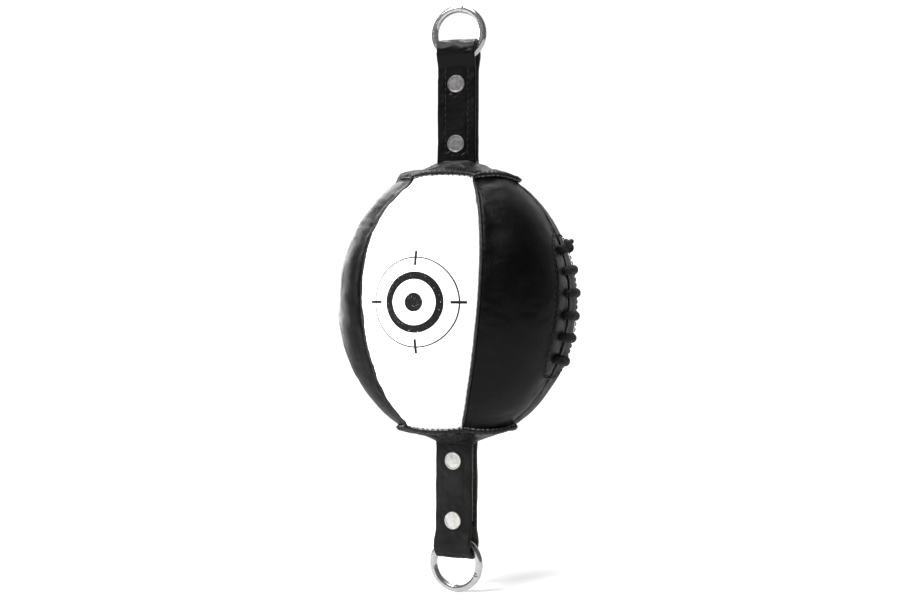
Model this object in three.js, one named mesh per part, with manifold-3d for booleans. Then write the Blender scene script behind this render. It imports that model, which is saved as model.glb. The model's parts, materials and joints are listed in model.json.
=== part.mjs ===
// A double end bag: an oval leather ball of six panels round a rubber bladder, laced shut down one side,
// with a leather strap and a welded steel ring at each end.
//
// Millimetres, +Z up. The origin is the middle of the ball. The white panel faces -Y and the lacing faces +X.
// Angles round the ball are in degrees from -Y towards +X. A latitude is in radians from the ball's equator.

import * as THREE from "three";
import { mergeVertices } from "three/addons/utils/BufferGeometryUtils.js";
import Module from "manifold-3d";

// ---- Driving dimensions ----

const GAP = 0.3; // kept between pieces that rest on each other
const SAG = 0.6; // how far the middle of a panel's facet lies inside the true curve

// The ball
const BALL_RADIUS = 89; // from the axis to the middle of a panel
const BALL_HALF_HEIGHT = 104.4; // of the whole oval, which the caps cut short
const SEAM_DIP = 0.03; // how far a seam lies inside the middle of a panel, as a share of the radius
const PANEL_ANGLE = 60;
const PANEL_ROWS = 10; // of facets, up a panel
const PANEL_COLUMNS = 6; // of facets, across a panel
const PANEL_THICKNESS = 2.4;
const LINING_THICKNESS = 1.2;
const WELT_RADIUS = 1.1; // of the piping sewn into each seam
const LACED_SEAM = 90;
const END_TWIST = 4.5; // degrees that the top is turned past the equator, and the bottom short of it
const TWIST_HEIGHT = 88; // the panels twist evenly up to here
const BOWED_SEAM = 330; // bows out to the left of the white panel, mostly above the equator
const SEAM_BOW = 7; // degrees, at most
const BOW_REACH = 50; // degrees to each side of the seam that move with it
const BOW_HEIGHTS = { start: -50, full: 55, fading: 60, end: 94 };

// The leather cap on each end
const RIM_RADIUS = 43.2; // where a seam meets the cap
const RIM_STRAIGHTNESS = 0.65; // 0 is a round cap, 1 is a hexagon with straight sides
const CAP_THICKNESS = 2;
const CAP_LIP = 4.2; // how far the sewn edge stands out of the ball
const LIP_THICKNESS = 2.4;
const CAP_VALLEY = { out: 0.6, inward: 2.8 }; // behind the lip, from the rim
const CAP_ROOT = { out: -1.6, inward: 0.3 }; // under the valley, from the rim
const CAP_COLUMNS = 24; // of facets, round a cap
const COLLAR = { x: 13.5, y: 5.2, squareness: 3 }; // half sizes of the opening that the strap comes out of
const COLLAR_HEIGHT = 103; // where the cap has risen to the strap
const CAP_HOLLOWNESS = 1.8; // 1 is a straight cone
const BACKING_DISC = { radius: 36, thickness: 2, height: 85.5 };

// The strap on each end
const STRAP_WIDTH = 28.6;
const STRAP_THICKNESS = 12;
const STRAP_LEATHER = 2.7;
const FLEX_HEIGHT = 106; // where the strap bends as it leaves the cap
const RIVET_HEIGHTS = { inner: 117.4, outer: 161.7 };
const RIVET_HEAD_RADIUS = 6.7;
const RIVET_POST_RADIUS = 1.9;
const TAIL_FOOT = { reach: 22, top: 91, bottom: 88.5 }; // of the strap, sewn under the cap

// The ring on each end
const RING_HEIGHTS = { top: 199.8, bottom: 194.2 }; // of the rings' centres: the top strap is the longer
const RING_INNER_RADIUS = 15.875; // a 1 1/4 inch ring
const RING_WIRE_RADIUS = 2.8;
const EYE_BELOW_RING = 14.4; // from the ring's centre down to the middle of the strap's eye
const EYE_RADIUS = 7.5;
const EYE_EASING = { top: 5, bottom: 4.5 }; // lengths over which the legs turn into the eye

// The lacing
const LACE_RADIUS = 2.4;
const LACE_BARS = 6;
const LOWEST_BAR = -41;
const BAR_SPACING = 16;
const EYELET_OFFSET = 7.5; // from the middle of the slit to an eyelet
const EYELET_RADIUS = 3;
const FACING_HALF_WIDTH = 26;
const FACING_MIDDLE = -2.5;
const FACING_HALF_LENGTH = 52.5;
const FACING_THICKNESS = 1.2;
const FACING_END = 0.98; // share of its half length that the facing is drawn to
const LACE_TAIL = 9; // that hangs inside, past the last eyelet
const LACE_ROUNDING = 2.6; // of its corners
const TONGUE = { halfWidth: 22, pastFacing: 2, thickness: 1.2 };
const OPENING_PAST_FACING = 4; // of the slit and of the hole in the lining, at each end
const LINING_OPENING_WIDTH = 62;

// The bladder
const BLADDER_RADIUS = 79;
const BLADDER_HALF_HEIGHT = 83;
const BLADDER_SQUARENESS = 2.4; // 2 is an ellipse, and more is boxier
const BLADDER_WALL = 1.5;
const LACING_DENT = 8.5; // how far the tongue and lace push it in
const DENT_SIDES = { full: 30, none: 48 }; // distances from the lacing's middle
const DENT_ENDS = { full: 62, none: 76 };
const VALVE_RADIUS = 3.6;

// ---- Materials ----

const leather = (color) => new THREE.MeshStandardMaterial({ color, roughness: 0.45 });
const material = {
  whiteLeather: () => leather(0xf2f2ef),
  blackLeather: () => leather(0x17171a),
  welt: () => leather(0x0f0f11),
  rawLeather: () => leather(0x4a443e),
  lining: () => new THREE.MeshStandardMaterial({ color: 0x8d8a82, roughness: 0.95 }),
  webbing: () => new THREE.MeshStandardMaterial({ color: 0x1d1d1f, roughness: 0.9 }),
  lace: () => new THREE.MeshStandardMaterial({ color: 0x141414, roughness: 0.85 }),
  rubber: () => new THREE.MeshStandardMaterial({ color: 0x3a2a24, roughness: 0.7 }),
  nickel: () => new THREE.MeshStandardMaterial({ color: 0xbdbdb8, metalness: 1, roughness: 0.3 }),
  chrome: () => new THREE.MeshStandardMaterial({ color: 0xd8d8da, metalness: 1, roughness: 0.12 }),
};

function piece(name, geometry, made) {
  const mesh = new THREE.Mesh(geometry, made());
  mesh.name = name;
  return mesh;
}

// ---- Closed bodies, cutting and joining ----

const { lerp, degToRad, radToDeg, smoothstep, clamp } = THREE.MathUtils;
const wasm = await Module();
wasm.setup();

// The same surface with shared corners and no triangle that has collapsed to a line.
function tidy(geometry) {
  const bare = geometry.clone();
  bare.deleteAttribute("normal");
  bare.deleteAttribute("uv");
  const merged = mergeVertices(bare, 1e-4);
  const corners = merged.index.array;
  const kept = [];
  for (let i = 0; i < corners.length; i += 3) {
    const [a, b, c] = corners.subarray(i, i + 3);
    if (a !== b && b !== c && c !== a) kept.push(a, b, c);
  }
  return merged.setIndex(kept);
}

function solidOf(geometry) {
  const closed = tidy(geometry);
  const vertProperties = closed.attributes.position.array;
  const triVerts = new Uint32Array(closed.index.array);
  return new wasm.Manifold(new wasm.Mesh({ numProp: 3, vertProperties, triVerts }));
}

function geometryOf(solid) {
  const mesh = solid.getMesh();
  return new THREE.BufferGeometry()
    .setAttribute("position", new THREE.BufferAttribute(mesh.vertProperties, 3))
    .setIndex(new THREE.BufferAttribute(mesh.triVerts, 1));
}

function cut(geometry, cutters) {
  let solid = solidOf(geometry);
  for (const cutter of cutters) solid = solid.subtract(solidOf(cutter));
  return geometryOf(solid);
}

// A grid of points: pointAt takes shares from 0 to 1, across and then up.
function grid(columns, rows, pointAt) {
  const line = (v) => Array.from({ length: columns + 1 }, (_, j) => pointAt(j / columns, v));
  return Array.from({ length: rows + 1 }, (_, i) => line(i / rows));
}

// A closed sheet between an outer and an inner grid. A wrapped sheet's last column meets its first.
function sheet(outer, inner, wrapped = false) {
  const rows = outer.length - 1;
  const columns = outer[0].length - 1;
  const positions = [...outer.flat(), ...inner.flat()].flatMap((p) => p.toArray());
  const out = (i, j) => i * (columns + 1) + j;
  const inn = (i, j) => (rows + 1) * (columns + 1) + out(i, j);
  const faces = [];
  const quad = (a, b, c, d) => faces.push(a, b, c, a, c, d);
  for (let j = 0; j < columns; j++) {
    for (let i = 0; i < rows; i++) {
      quad(out(i, j), out(i, j + 1), out(i + 1, j + 1), out(i + 1, j));
      quad(inn(i, j), inn(i + 1, j), inn(i + 1, j + 1), inn(i, j + 1));
    }
    quad(inn(0, j), inn(0, j + 1), out(0, j + 1), out(0, j));
    quad(out(rows, j), out(rows, j + 1), inn(rows, j + 1), inn(rows, j));
  }
  for (let i = 0; i < rows && !wrapped; i++) {
    quad(out(i, 0), out(i + 1, 0), inn(i + 1, 0), inn(i, 0));
    quad(inn(i, columns), inn(i + 1, columns), out(i + 1, columns), out(i, columns));
  }
  const geometry = new THREE.BufferGeometry();
  geometry.setAttribute("position", new THREE.Float32BufferAttribute(positions, 3));
  return tidy(geometry.setIndex(faces));
}

// A round cord along a curve, with closed ends.
function cord(curve, radius, steps, sides = 6) {
  const corner = (k) => (2 * Math.PI * k) / sides;
  const section = Array.from(
    { length: sides },
    (_, k) => new THREE.Vector2(radius * Math.cos(corner(k)), radius * Math.sin(corner(k))),
  );
  const options = { steps, extrudePath: curve };
  return new THREE.ExtrudeGeometry(new THREE.Shape(section), options);
}

// A shape drawn in Y and Z, as thick as the strap is wide.
function acrossStrap(shape, width = STRAP_WIDTH) {
  const options = { depth: width, bevelEnabled: false, curveSegments: 10 };
  const standing = new THREE.Matrix4().makeBasis(
    new THREE.Vector3(0, 1, 0),
    new THREE.Vector3(0, 0, 1),
    new THREE.Vector3(1, 0, 0),
  );
  return new THREE.ExtrudeGeometry(shape, options).translate(0, 0, -width / 2).applyMatrix4(standing);
}

// ---- The ball's surface ----

// 1 in the middle of a panel, and less towards a seam.
function fullness(angle) {
  const fromMiddle = angle - PANEL_ANGLE * Math.round(angle / PANEL_ANGLE);
  return 1 - SEAM_DIP * (fromMiddle / (PANEL_ANGLE / 2)) ** 2;
}

// Degrees by which the bowed seam and what lies beside it are turned back.
function bow(angle, height) {
  const aside = Math.abs(angle - BOWED_SEAM - 360 * Math.round((angle - BOWED_SEAM) / 360));
  const { start, full, fading, end } = BOW_HEIGHTS;
  const share = smoothstep(height, start, full) * (1 - smoothstep(height, fading, end));
  return SEAM_BOW * share * (1 - smoothstep(aside, 0, BOW_REACH));
}

function ballRadiusAt(angle, latitude) {
  return BALL_RADIUS * fullness(angle) * Math.cos(latitude);
}

function outwardAt(latitude) {
  return new THREE.Vector2(
    Math.cos(latitude) / BALL_RADIUS,
    Math.sin(latitude) / BALL_HALF_HEIGHT,
  ).normalize();
}

// The point at a depth below the ball's surface.
function ballPoint(angle, latitude, depth = 0) {
  const outward = outwardAt(latitude);
  const radius = ballRadiusAt(angle, latitude) - depth * outward.x;
  const height = BALL_HALF_HEIGHT * Math.sin(latitude) - depth * outward.y;
  const turn = degToRad(angle - bow(angle, height) + END_TWIST * clamp(height / TWIST_HEIGHT, -1, 1));
  return new THREE.Vector3(radius * Math.sin(turn), -radius * Math.cos(turn), height);
}

const latitudeOf = (height) => Math.asin(height / BALL_HALF_HEIGHT);

// The cap's edge is nearer the axis in the middle of a panel than at a seam.
function rimLatitude(angle) {
  const half = degToRad(PANEL_ANGLE / 2);
  const fromMiddle = degToRad(angle - PANEL_ANGLE * Math.round(angle / PANEL_ANGLE));
  const straight = Math.cos(half) / Math.cos(fromMiddle);
  const radius = RIM_RADIUS * lerp(1, straight, RIM_STRAIGHTNESS);
  return Math.acos(radius / (BALL_RADIUS * fullness(angle)));
}

const LATITUDE_LENGTH = BALL_HALF_HEIGHT - 11; // along the surface near a cap, for each radian of latitude

// The latitude that lies a distance along the surface below the cap's edge.
function belowRim(angle, distance) {
  return rimLatitude(angle) - distance / LATITUDE_LENGTH;
}

// ---- Panels, piping and lining ----

const SEAM_HALF_GAP = WELT_RADIUS + 1.5 * GAP;
const LINING_DEPTH = PANEL_THICKNESS + SAG + GAP;

function panelPoint(middle, across, up, depth) {
  const evenly = middle + PANEL_ANGLE * (across - 0.5);
  const limit = belowRim(evenly, 2 * GAP);
  const latitude = lerp(-limit, limit, up);
  const seamShare = radToDeg(Math.asin(SEAM_HALF_GAP / ballRadiusAt(middle + PANEL_ANGLE / 2, latitude)));
  const angle = middle + (PANEL_ANGLE - 2 * seamShare) * (across - 0.5);
  return ballPoint(angle, latitude, depth);
}

function panelGeometry(middle) {
  const layer = (depth) => {
    return grid(PANEL_COLUMNS, PANEL_ROWS, (across, up) => panelPoint(middle, across, up, depth));
  };
  return sheet(layer(0), layer(PANEL_THICKNESS));
}

// Piping along a seam between two latitudes.
function weltGeometry(seam, from, to) {
  const points = Array.from({ length: 13 }, (_, i) => ballPoint(seam, lerp(from, to, i / 12), GAP));
  return cord(new THREE.CatmullRomCurve3(points), WELT_RADIUS, 12);
}

function liningGeometry() {
  const layer = (depth) =>
    grid(24, 6, (across, up) => {
      const angle = 360 * across;
      const limit = belowRim(angle, 5 * GAP);
      return ballPoint(angle, lerp(-limit, limit, up), depth);
    });
  const tube = sheet(layer(LINING_DEPTH), layer(LINING_DEPTH + LINING_THICKNESS), true);
  const length = 2 * (FACING_HALF_LENGTH + OPENING_PAST_FACING);
  const opening = new THREE.BoxGeometry(BALL_RADIUS / 2, LINING_OPENING_WIDTH, length);
  return cut(tube, [opening.translate(BALL_RADIUS, 0, FACING_MIDDLE)]);
}

// ---- The lacing ----

const FACING_DEPTH = PANEL_THICKNESS + SAG + GAP;
const LACE_DEPTH = FACING_DEPTH + FACING_THICKNESS + GAP + LACE_RADIUS;
const TONGUE_DEPTH = LACE_DEPTH + LACE_RADIUS + SAG + GAP;
const LACE_HEIGHT = LACE_RADIUS + 2 * GAP; // of a bar above the panels
const FRONT = -1;
const REAR = 1;
const barHeight = (bar) => LOWEST_BAR + BAR_SPACING * bar;

// A point beside the slit, a distance to its front or its rear.
function besideSlit(offset, height, depth) {
  const latitude = latitudeOf(height);
  const aside = Math.asin(offset / ballRadiusAt(LACED_SEAM, latitude));
  return ballPoint(LACED_SEAM + radToDeg(aside), latitude, depth);
}

const eyelet = (side, bar, depth) => besideSlit(side * EYELET_OFFSET, barHeight(bar), depth);

function eyeletCutter(side, bar) {
  const ends = new THREE.LineCurve3(eyelet(side, bar, 9), eyelet(side, bar, -9));
  return cord(ends, EYELET_RADIUS, 1, 8);
}

function withEyelets(geometry, side) {
  const bars = Array.from({ length: LACE_BARS }, (_, bar) => bar);
  return cut(geometry, bars.map((bar) => eyeletCutter(side, bar)));
}

// The reinforcing leather under one side of the slit, with round ends.
function facingGeometry(side) {
  const layer = (depth) =>
    grid(4, 8, (across, up) => {
      const along = FACING_END * lerp(-1, 1, up);
      const outline = (1 - Math.abs(along) ** 5) ** (1 / 2.5);
      const offset = lerp(SEAM_HALF_GAP, FACING_HALF_WIDTH * outline, side === REAR ? across : 1 - across);
      return besideSlit(side * offset, FACING_MIDDLE + FACING_HALF_LENGTH * along, depth);
    });
  return withEyelets(sheet(layer(FACING_DEPTH), layer(FACING_DEPTH + FACING_THICKNESS)), side);
}

function tongueGeometry() {
  const layer = (depth) =>
    grid(4, 6, (across, up) => {
      const height = FACING_MIDDLE + (FACING_HALF_LENGTH + TONGUE.pastFacing) * lerp(-1, 1, up);
      return besideSlit(TONGUE.halfWidth * lerp(-1, 1, across), height, depth);
    });
  return sheet(layer(TONGUE_DEPTH), layer(TONGUE_DEPTH + TONGUE.thickness));
}

// Straight runs with rounded corners.
function roundedPath(points, rounding) {
  const path = new THREE.CurvePath();
  let start = points[0];
  for (let i = 1; i < points.length - 1; i++) {
    const towards = (other) => points[i].clone().add(other.clone().sub(points[i]).setLength(rounding));
    const into = towards(points[i - 1]);
    const out = towards(points[i + 1]);
    path.add(new THREE.LineCurve3(start, into));
    path.add(new THREE.QuadraticBezierCurve3(into, points[i], out));
    start = out;
  }
  path.add(new THREE.LineCurve3(start, points.at(-1)));
  return path;
}

// The lace crosses the slit outside, dives through the rear eyelet and climbs inside to the next front one.
function laceGeometry() {
  const points = [besideSlit(-EYELET_OFFSET, barHeight(0) - LACE_TAIL, LACE_DEPTH)];
  for (let bar = 0; bar < LACE_BARS; bar++) {
    points.push(eyelet(FRONT, bar, LACE_DEPTH), eyelet(FRONT, bar, -LACE_HEIGHT));
    points.push(eyelet(REAR, bar, -LACE_HEIGHT), eyelet(REAR, bar, LACE_DEPTH));
  }
  points.push(besideSlit(EYELET_OFFSET, barHeight(LACE_BARS - 1) + LACE_TAIL, LACE_DEPTH));
  return cord(roundedPath(points, LACE_ROUNDING), LACE_RADIUS, 110);
}

// ---- The bladder ----

function bladderRadiusTowards(direction) {
  const level = Math.hypot(direction.x, direction.y) / BLADDER_RADIUS;
  const upright = Math.abs(direction.z) / BLADDER_HALF_HEIGHT;
  const full = (level ** BLADDER_SQUARENESS + upright ** BLADDER_SQUARENESS) ** (-1 / BLADDER_SQUARENESS);
  const here = direction.clone().multiplyScalar(full);
  const underLacing = here.x < 0 ? 0 : 1 - smoothstep(Math.abs(here.y), DENT_SIDES.full, DENT_SIDES.none);
  const betweenEnds = 1 - smoothstep(Math.abs(here.z), DENT_ENDS.full, DENT_ENDS.none);
  return full - LACING_DENT * underLacing * betweenEnds;
}

// Rows of the bladder run from its valve at +X to the far side.
function bladderGeometry() {
  const opening = (VALVE_RADIUS + GAP) / (BLADDER_RADIUS - LACING_DENT);
  const layer = (depth) =>
    grid(16, 10, (around, along) => {
      const tilt = lerp(opening, Math.PI, along);
      const turn = 2 * Math.PI * around;
      const across = Math.sin(tilt);
      const direction = new THREE.Vector3(Math.cos(tilt), across * Math.cos(turn), across * Math.sin(turn));
      return direction.multiplyScalar(bladderRadiusTowards(direction) - depth);
    });
  return sheet(layer(BLADDER_WALL), layer(0), true);
}

// A rubber grommet with a needle hole, turned about X.
function valveGeometry() {
  const wall = BLADDER_RADIUS - LACING_DENT;
  const profile = [
    [0, wall - 8],
    [VALVE_RADIUS - 1, wall - 8],
    [VALVE_RADIUS, wall - BLADDER_WALL],
    [VALVE_RADIUS, wall + GAP],
    [7, wall + GAP],
    [6.4, wall + 1.4],
    [1, wall + 1.4],
    [1, wall - 4],
    [0, wall - 4],
  ];
  const points = profile.map(([radius, x]) => new THREE.Vector2(radius, x));
  return new THREE.LatheGeometry(points, 12).rotateZ(-Math.PI / 2);
}

// ---- One end: everything below is drawn for the top, with X along the strap's width ----

// The cap's section at one angle, as pairs of outer and inner points in radius and height.
function capSection(angle) {
  const latitude = rimLatitude(angle);
  const rim = new THREE.Vector2(ballRadiusAt(angle, latitude), BALL_HALF_HEIGHT * Math.sin(latitude));
  const outward = outwardAt(latitude);
  const inward = new THREE.Vector2(-outward.y, outward.x);
  const from = (out, along) => rim.clone().addScaledVector(outward, out).addScaledVector(inward, along);
  const valley = from(CAP_VALLEY.out, CAP_VALLEY.inward);
  const across = Math.abs(Math.sin(degToRad(angle)) / COLLAR.x) ** COLLAR.squareness;
  const out = Math.abs(Math.cos(degToRad(angle)) / COLLAR.y) ** COLLAR.squareness;
  const slot = (across + out) ** (-1 / COLLAR.squareness);
  const pairs = [
    [from(CAP_LIP, LIP_THICKNESS), from(CAP_LIP, 0)],
    [valley, from(CAP_ROOT.out, CAP_ROOT.inward)],
  ];
  for (const rise of [0.25, 0.5, 0.75, 1]) {
    const height = lerp(valley.y, COLLAR_HEIGHT, rise ** CAP_HOLLOWNESS);
    const outer = new THREE.Vector2(lerp(valley.x, slot, rise), height);
    pairs.push([outer, new THREE.Vector2(outer.x, height - CAP_THICKNESS)]);
  }
  return pairs;
}

function capGeometry() {
  const columns = CAP_COLUMNS;
  const sections = Array.from({ length: columns + 1 }, (_, j) => capSection((360 * j) / columns));
  const rows = sections[0].length - 1;
  const layer = (side) =>
    grid(columns, rows, (across, up) => {
      const point = sections[Math.round(across * columns)][Math.round(up * rows)][side];
      const turn = 2 * Math.PI * across;
      return new THREE.Vector3(point.x * Math.sin(turn), -point.x * Math.cos(turn), point.y);
    });
  const slot = new THREE.BoxGeometry(STRAP_WIDTH + 0.8, STRAP_THICKNESS + 0.8, 40);
  return cut(sheet(layer(0), layer(1), true), [slot.translate(0, 0, COLLAR_HEIGHT)]);
}

// The strap's tails under the cap: a stub in the slot and two feet sewn to the cap's inside. Its top is
// hollowed round the line where the strap bends.
function strapTailGeometry() {
  const half = STRAP_THICKNESS / 2;
  const hollow = half + 2 * GAP;
  const lip = Math.acos(half / hollow);
  const shape = new THREE.Shape();
  shape.moveTo(-TAIL_FOOT.reach, TAIL_FOOT.bottom);
  shape.lineTo(TAIL_FOOT.reach, TAIL_FOOT.bottom);
  shape.lineTo(TAIL_FOOT.reach, TAIL_FOOT.top);
  shape.lineTo(half, TAIL_FOOT.top);
  shape.lineTo(half, FLEX_HEIGHT - hollow * Math.sin(lip));
  shape.absarc(0, FLEX_HEIGHT, hollow, -lip, lip - Math.PI, true);
  shape.lineTo(-half, TAIL_FOOT.top);
  shape.lineTo(-TAIL_FOOT.reach, TAIL_FOOT.top);
  shape.closePath();
  return acrossStrap(shape);
}

function backingDiscGeometry() {
  const { radius, thickness, height } = BACKING_DISC;
  const disc = new THREE.CylinderGeometry(radius, radius, thickness, CAP_COLUMNS);
  return disc.rotateX(Math.PI / 2).translate(0, 0, height);
}

const EYE_WRAP = degToRad(20); // how far round below its middle the eye stays round
const FLARE_BELOW_EYE = 14; // where the two legs start to part

// A strap outline from one foot, over the eye, to the other: legs a half thickness apart, then a round eye.
function overTheEye(path, eyeHeight, half, eyeRadius, foot) {
  const side = eyeRadius * Math.cos(EYE_WRAP);
  const drop = eyeRadius * Math.sin(EYE_WRAP);
  const lean = { y: EYE_EASING.top * Math.sin(EYE_WRAP), z: EYE_EASING.top * Math.cos(EYE_WRAP) };
  const flare = eyeHeight - FLARE_BELOW_EYE;
  const low = flare + EYE_EASING.bottom;
  const near = eyeHeight - drop;
  path.lineTo(half, foot);
  path.lineTo(half, flare);
  path.bezierCurveTo(half, low, side - lean.y, near - lean.z, side, near);
  path.absarc(0, eyeHeight, eyeRadius, -EYE_WRAP, Math.PI + EYE_WRAP, false);
  path.bezierCurveTo(-side + lean.y, near - lean.z, -half, low, -half, flare);
  path.lineTo(-half, foot);
  return path;
}

function rivetHole(height) {
  const radius = RIVET_POST_RADIUS + 2 * GAP;
  return new THREE.CylinderGeometry(radius, radius, 2.5 * STRAP_THICKNESS, 8).translate(0, 0, height);
}

const withRivetHoles = (geometry) => cut(geometry, Object.values(RIVET_HEIGHTS).map(rivetHole));

// The leather strap, folded over the ring. Its lower end is round about the line where it bends.
function strapGeometry(eyeHeight) {
  const half = STRAP_THICKNESS / 2;
  const shape = new THREE.Shape();
  shape.moveTo(-half, FLEX_HEIGHT);
  shape.absarc(0, FLEX_HEIGHT, half, Math.PI, 2 * Math.PI, false);
  overTheEye(shape, eyeHeight, half, EYE_RADIUS + STRAP_LEATHER, FLEX_HEIGHT + 1);
  const hollow = new THREE.Path();
  hollow.moveTo(STRAP_LEATHER - half, FLEX_HEIGHT + 4);
  overTheEye(hollow, eyeHeight, half - STRAP_LEATHER, EYE_RADIUS, FLEX_HEIGHT + 4);
  shape.holes.push(hollow);
  return withRivetHoles(acrossStrap(shape));
}

// Nylon webbing doubled over a filler strip, inside the strap.
const WEBBING_HALF = STRAP_THICKNESS / 2 - STRAP_LEATHER - GAP;
const WEBBING_THICKNESS = 1.6;
const WEBBING_BELOW_EYE = 16; // where it folds over

function webbingGeometry(eyeHeight) {
  const inner = WEBBING_HALF - WEBBING_THICKNESS;
  const foot = FLEX_HEIGHT + 4 + GAP;
  const fold = eyeHeight - WEBBING_BELOW_EYE;
  const shape = new THREE.Shape();
  shape.moveTo(inner, foot);
  shape.lineTo(WEBBING_HALF, foot);
  shape.absarc(0, fold, WEBBING_HALF, 0, Math.PI, false);
  shape.lineTo(-WEBBING_HALF, foot);
  shape.lineTo(-inner, foot);
  shape.absarc(0, fold, inner, Math.PI, 0, true);
  shape.closePath();
  return withRivetHoles(acrossStrap(shape, STRAP_WIDTH - 2));
}

function fillerGeometry(eyeHeight) {
  const foot = FLEX_HEIGHT + 4 + 2 * GAP;
  const length = eyeHeight - WEBBING_BELOW_EYE - 1 - foot;
  const thickness = 2 * (WEBBING_HALF - WEBBING_THICKNESS - GAP);
  const slab = new THREE.BoxGeometry(STRAP_WIDTH - 4, thickness, length);
  return withRivetHoles(slab.translate(0, 0, foot + length / 2));
}

// A rivet's profile is given as [radius, Y], and it is turned about Y.
function turned(profile) {
  return new THREE.LatheGeometry(profile.map(([radius, y]) => new THREE.Vector2(radius, y)), 10);
}

const RIVET_SEAT = STRAP_THICKNESS / 2 + GAP;

function rivetGeometry() {
  return turned([
    [0, -RIVET_SEAT - 1.3],
    [4.6, -RIVET_SEAT - 1.3],
    [5.5, -RIVET_SEAT - 1.8],
    [RIVET_HEAD_RADIUS, -RIVET_SEAT - 0.9],
    [RIVET_HEAD_RADIUS, -RIVET_SEAT],
    [RIVET_POST_RADIUS, -RIVET_SEAT],
    [RIVET_POST_RADIUS, RIVET_SEAT + 0.5],
    [0, RIVET_SEAT + 0.5],
  ]);
}

// The cap that the rivet's post is set into, with a blind socket.
function rivetCapGeometry() {
  const socket = RIVET_POST_RADIUS + GAP;
  return turned([
    [0, RIVET_SEAT + 0.8],
    [socket, RIVET_SEAT + 0.8],
    [socket, RIVET_SEAT],
    [RIVET_HEAD_RADIUS, RIVET_SEAT],
    [RIVET_HEAD_RADIUS, RIVET_SEAT + 0.9],
    [5.5, RIVET_SEAT + 1.8],
    [4.6, RIVET_SEAT + 1.4],
    [0, RIVET_SEAT + 1.4],
  ]);
}

// Seven sides to the wire and half a step of turn put a flat facet at the top and bottom inside the ring.
function ringGeometry(height) {
  const steps = 28;
  const ring = new THREE.TorusGeometry(RING_INNER_RADIUS + RING_WIRE_RADIUS, RING_WIRE_RADIUS, 7, steps);
  return ring.rotateZ(Math.PI / steps).rotateX(Math.PI / 2).translate(0, 0, height);
}

// The top end has side 1. The bottom end is its mirror image, with side -1.
function makeEnd(end, side) {
  const ringHeight = RING_HEIGHTS[end];
  const eyeHeight = ringHeight - EYE_BELOW_RING;
  const group = new THREE.Group();
  group.scale.z = side;
  group.rotation.z = side * degToRad(END_TWIST);
  group.add(
    piece(`${end}_cap`, capGeometry(), material.blackLeather),
    piece(`${end}_strap_tail`, strapTailGeometry(), material.blackLeather),
    piece(`${end}_backing_disc`, backingDiscGeometry(), material.rawLeather),
    piece(`${end}_strap`, strapGeometry(eyeHeight), material.blackLeather),
    piece(`${end}_strap_webbing`, webbingGeometry(eyeHeight), material.webbing),
    piece(`${end}_strap_filler`, fillerGeometry(eyeHeight), material.rawLeather),
    piece(`${end}_ring`, ringGeometry(ringHeight), material.chrome),
  );
  for (const [place, height] of Object.entries(RIVET_HEIGHTS)) {
    const rivet = piece(`${end}_${place}_rivet`, rivetGeometry(), material.nickel);
    const cap = piece(`${end}_${place}_rivet_cap`, rivetCapGeometry(), material.nickel);
    rivet.position.z = height;
    cap.position.z = height;
    group.add(rivet, cap);
  }
  return group;
}

// ---- The ball ----

const PANELS = {
  front: { middle: 0, made: material.whiteLeather },
  front_right: { middle: 60, made: material.blackLeather, lacedSide: FRONT },
  rear_right: { middle: 120, made: material.blackLeather, lacedSide: REAR },
  rear: { middle: 180, made: material.blackLeather },
  rear_left: { middle: 240, made: material.blackLeather },
  front_left: { middle: 300, made: material.blackLeather },
};
const WELTS = { front_right: 30, rear_right: 150, rear_left: 210, left: 270, front_left: 330 };

function makeBall() {
  const ball = new THREE.Group();
  for (const [place, { middle, made, lacedSide }] of Object.entries(PANELS)) {
    const plain = panelGeometry(middle);
    ball.add(piece(`panel_${place}`, lacedSide ? withEyelets(plain, lacedSide) : plain, made));
  }
  const weltEnd = (seam) => belowRim(seam, 3 * GAP);
  for (const [place, seam] of Object.entries(WELTS)) {
    ball.add(piece(`welt_${place}`, weltGeometry(seam, -weltEnd(seam), weltEnd(seam)), material.welt));
  }
  const slitTop = latitudeOf(FACING_MIDDLE + FACING_HALF_LENGTH + 4);
  const slitBottom = latitudeOf(FACING_MIDDLE - FACING_HALF_LENGTH - 4);
  const lacedEnd = weltEnd(LACED_SEAM);
  ball.add(
    piece("welt_laced_upper", weltGeometry(LACED_SEAM, slitTop, lacedEnd), material.welt),
    piece("welt_laced_lower", weltGeometry(LACED_SEAM, -lacedEnd, slitBottom), material.welt),
    piece("lining", liningGeometry(), material.lining),
    piece("facing_front", facingGeometry(FRONT), material.blackLeather),
    piece("facing_rear", facingGeometry(REAR), material.blackLeather),
    piece("tongue", tongueGeometry(), material.blackLeather),
    piece("lace", laceGeometry(), material.lace),
    piece("bladder", bladderGeometry(), material.rubber),
    piece("bladder_valve", valveGeometry(), material.rubber),
  );
  return ball;
}

const doubleEndBag = new THREE.Group();
doubleEndBag.add(makeBall(), makeEnd("top", 1), makeEnd("bottom", -1));
export default doubleEndBag;
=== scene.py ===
import json
import math

import bmesh
import bpy
import numpy as np
from mathutils import Matrix, Vector


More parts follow.
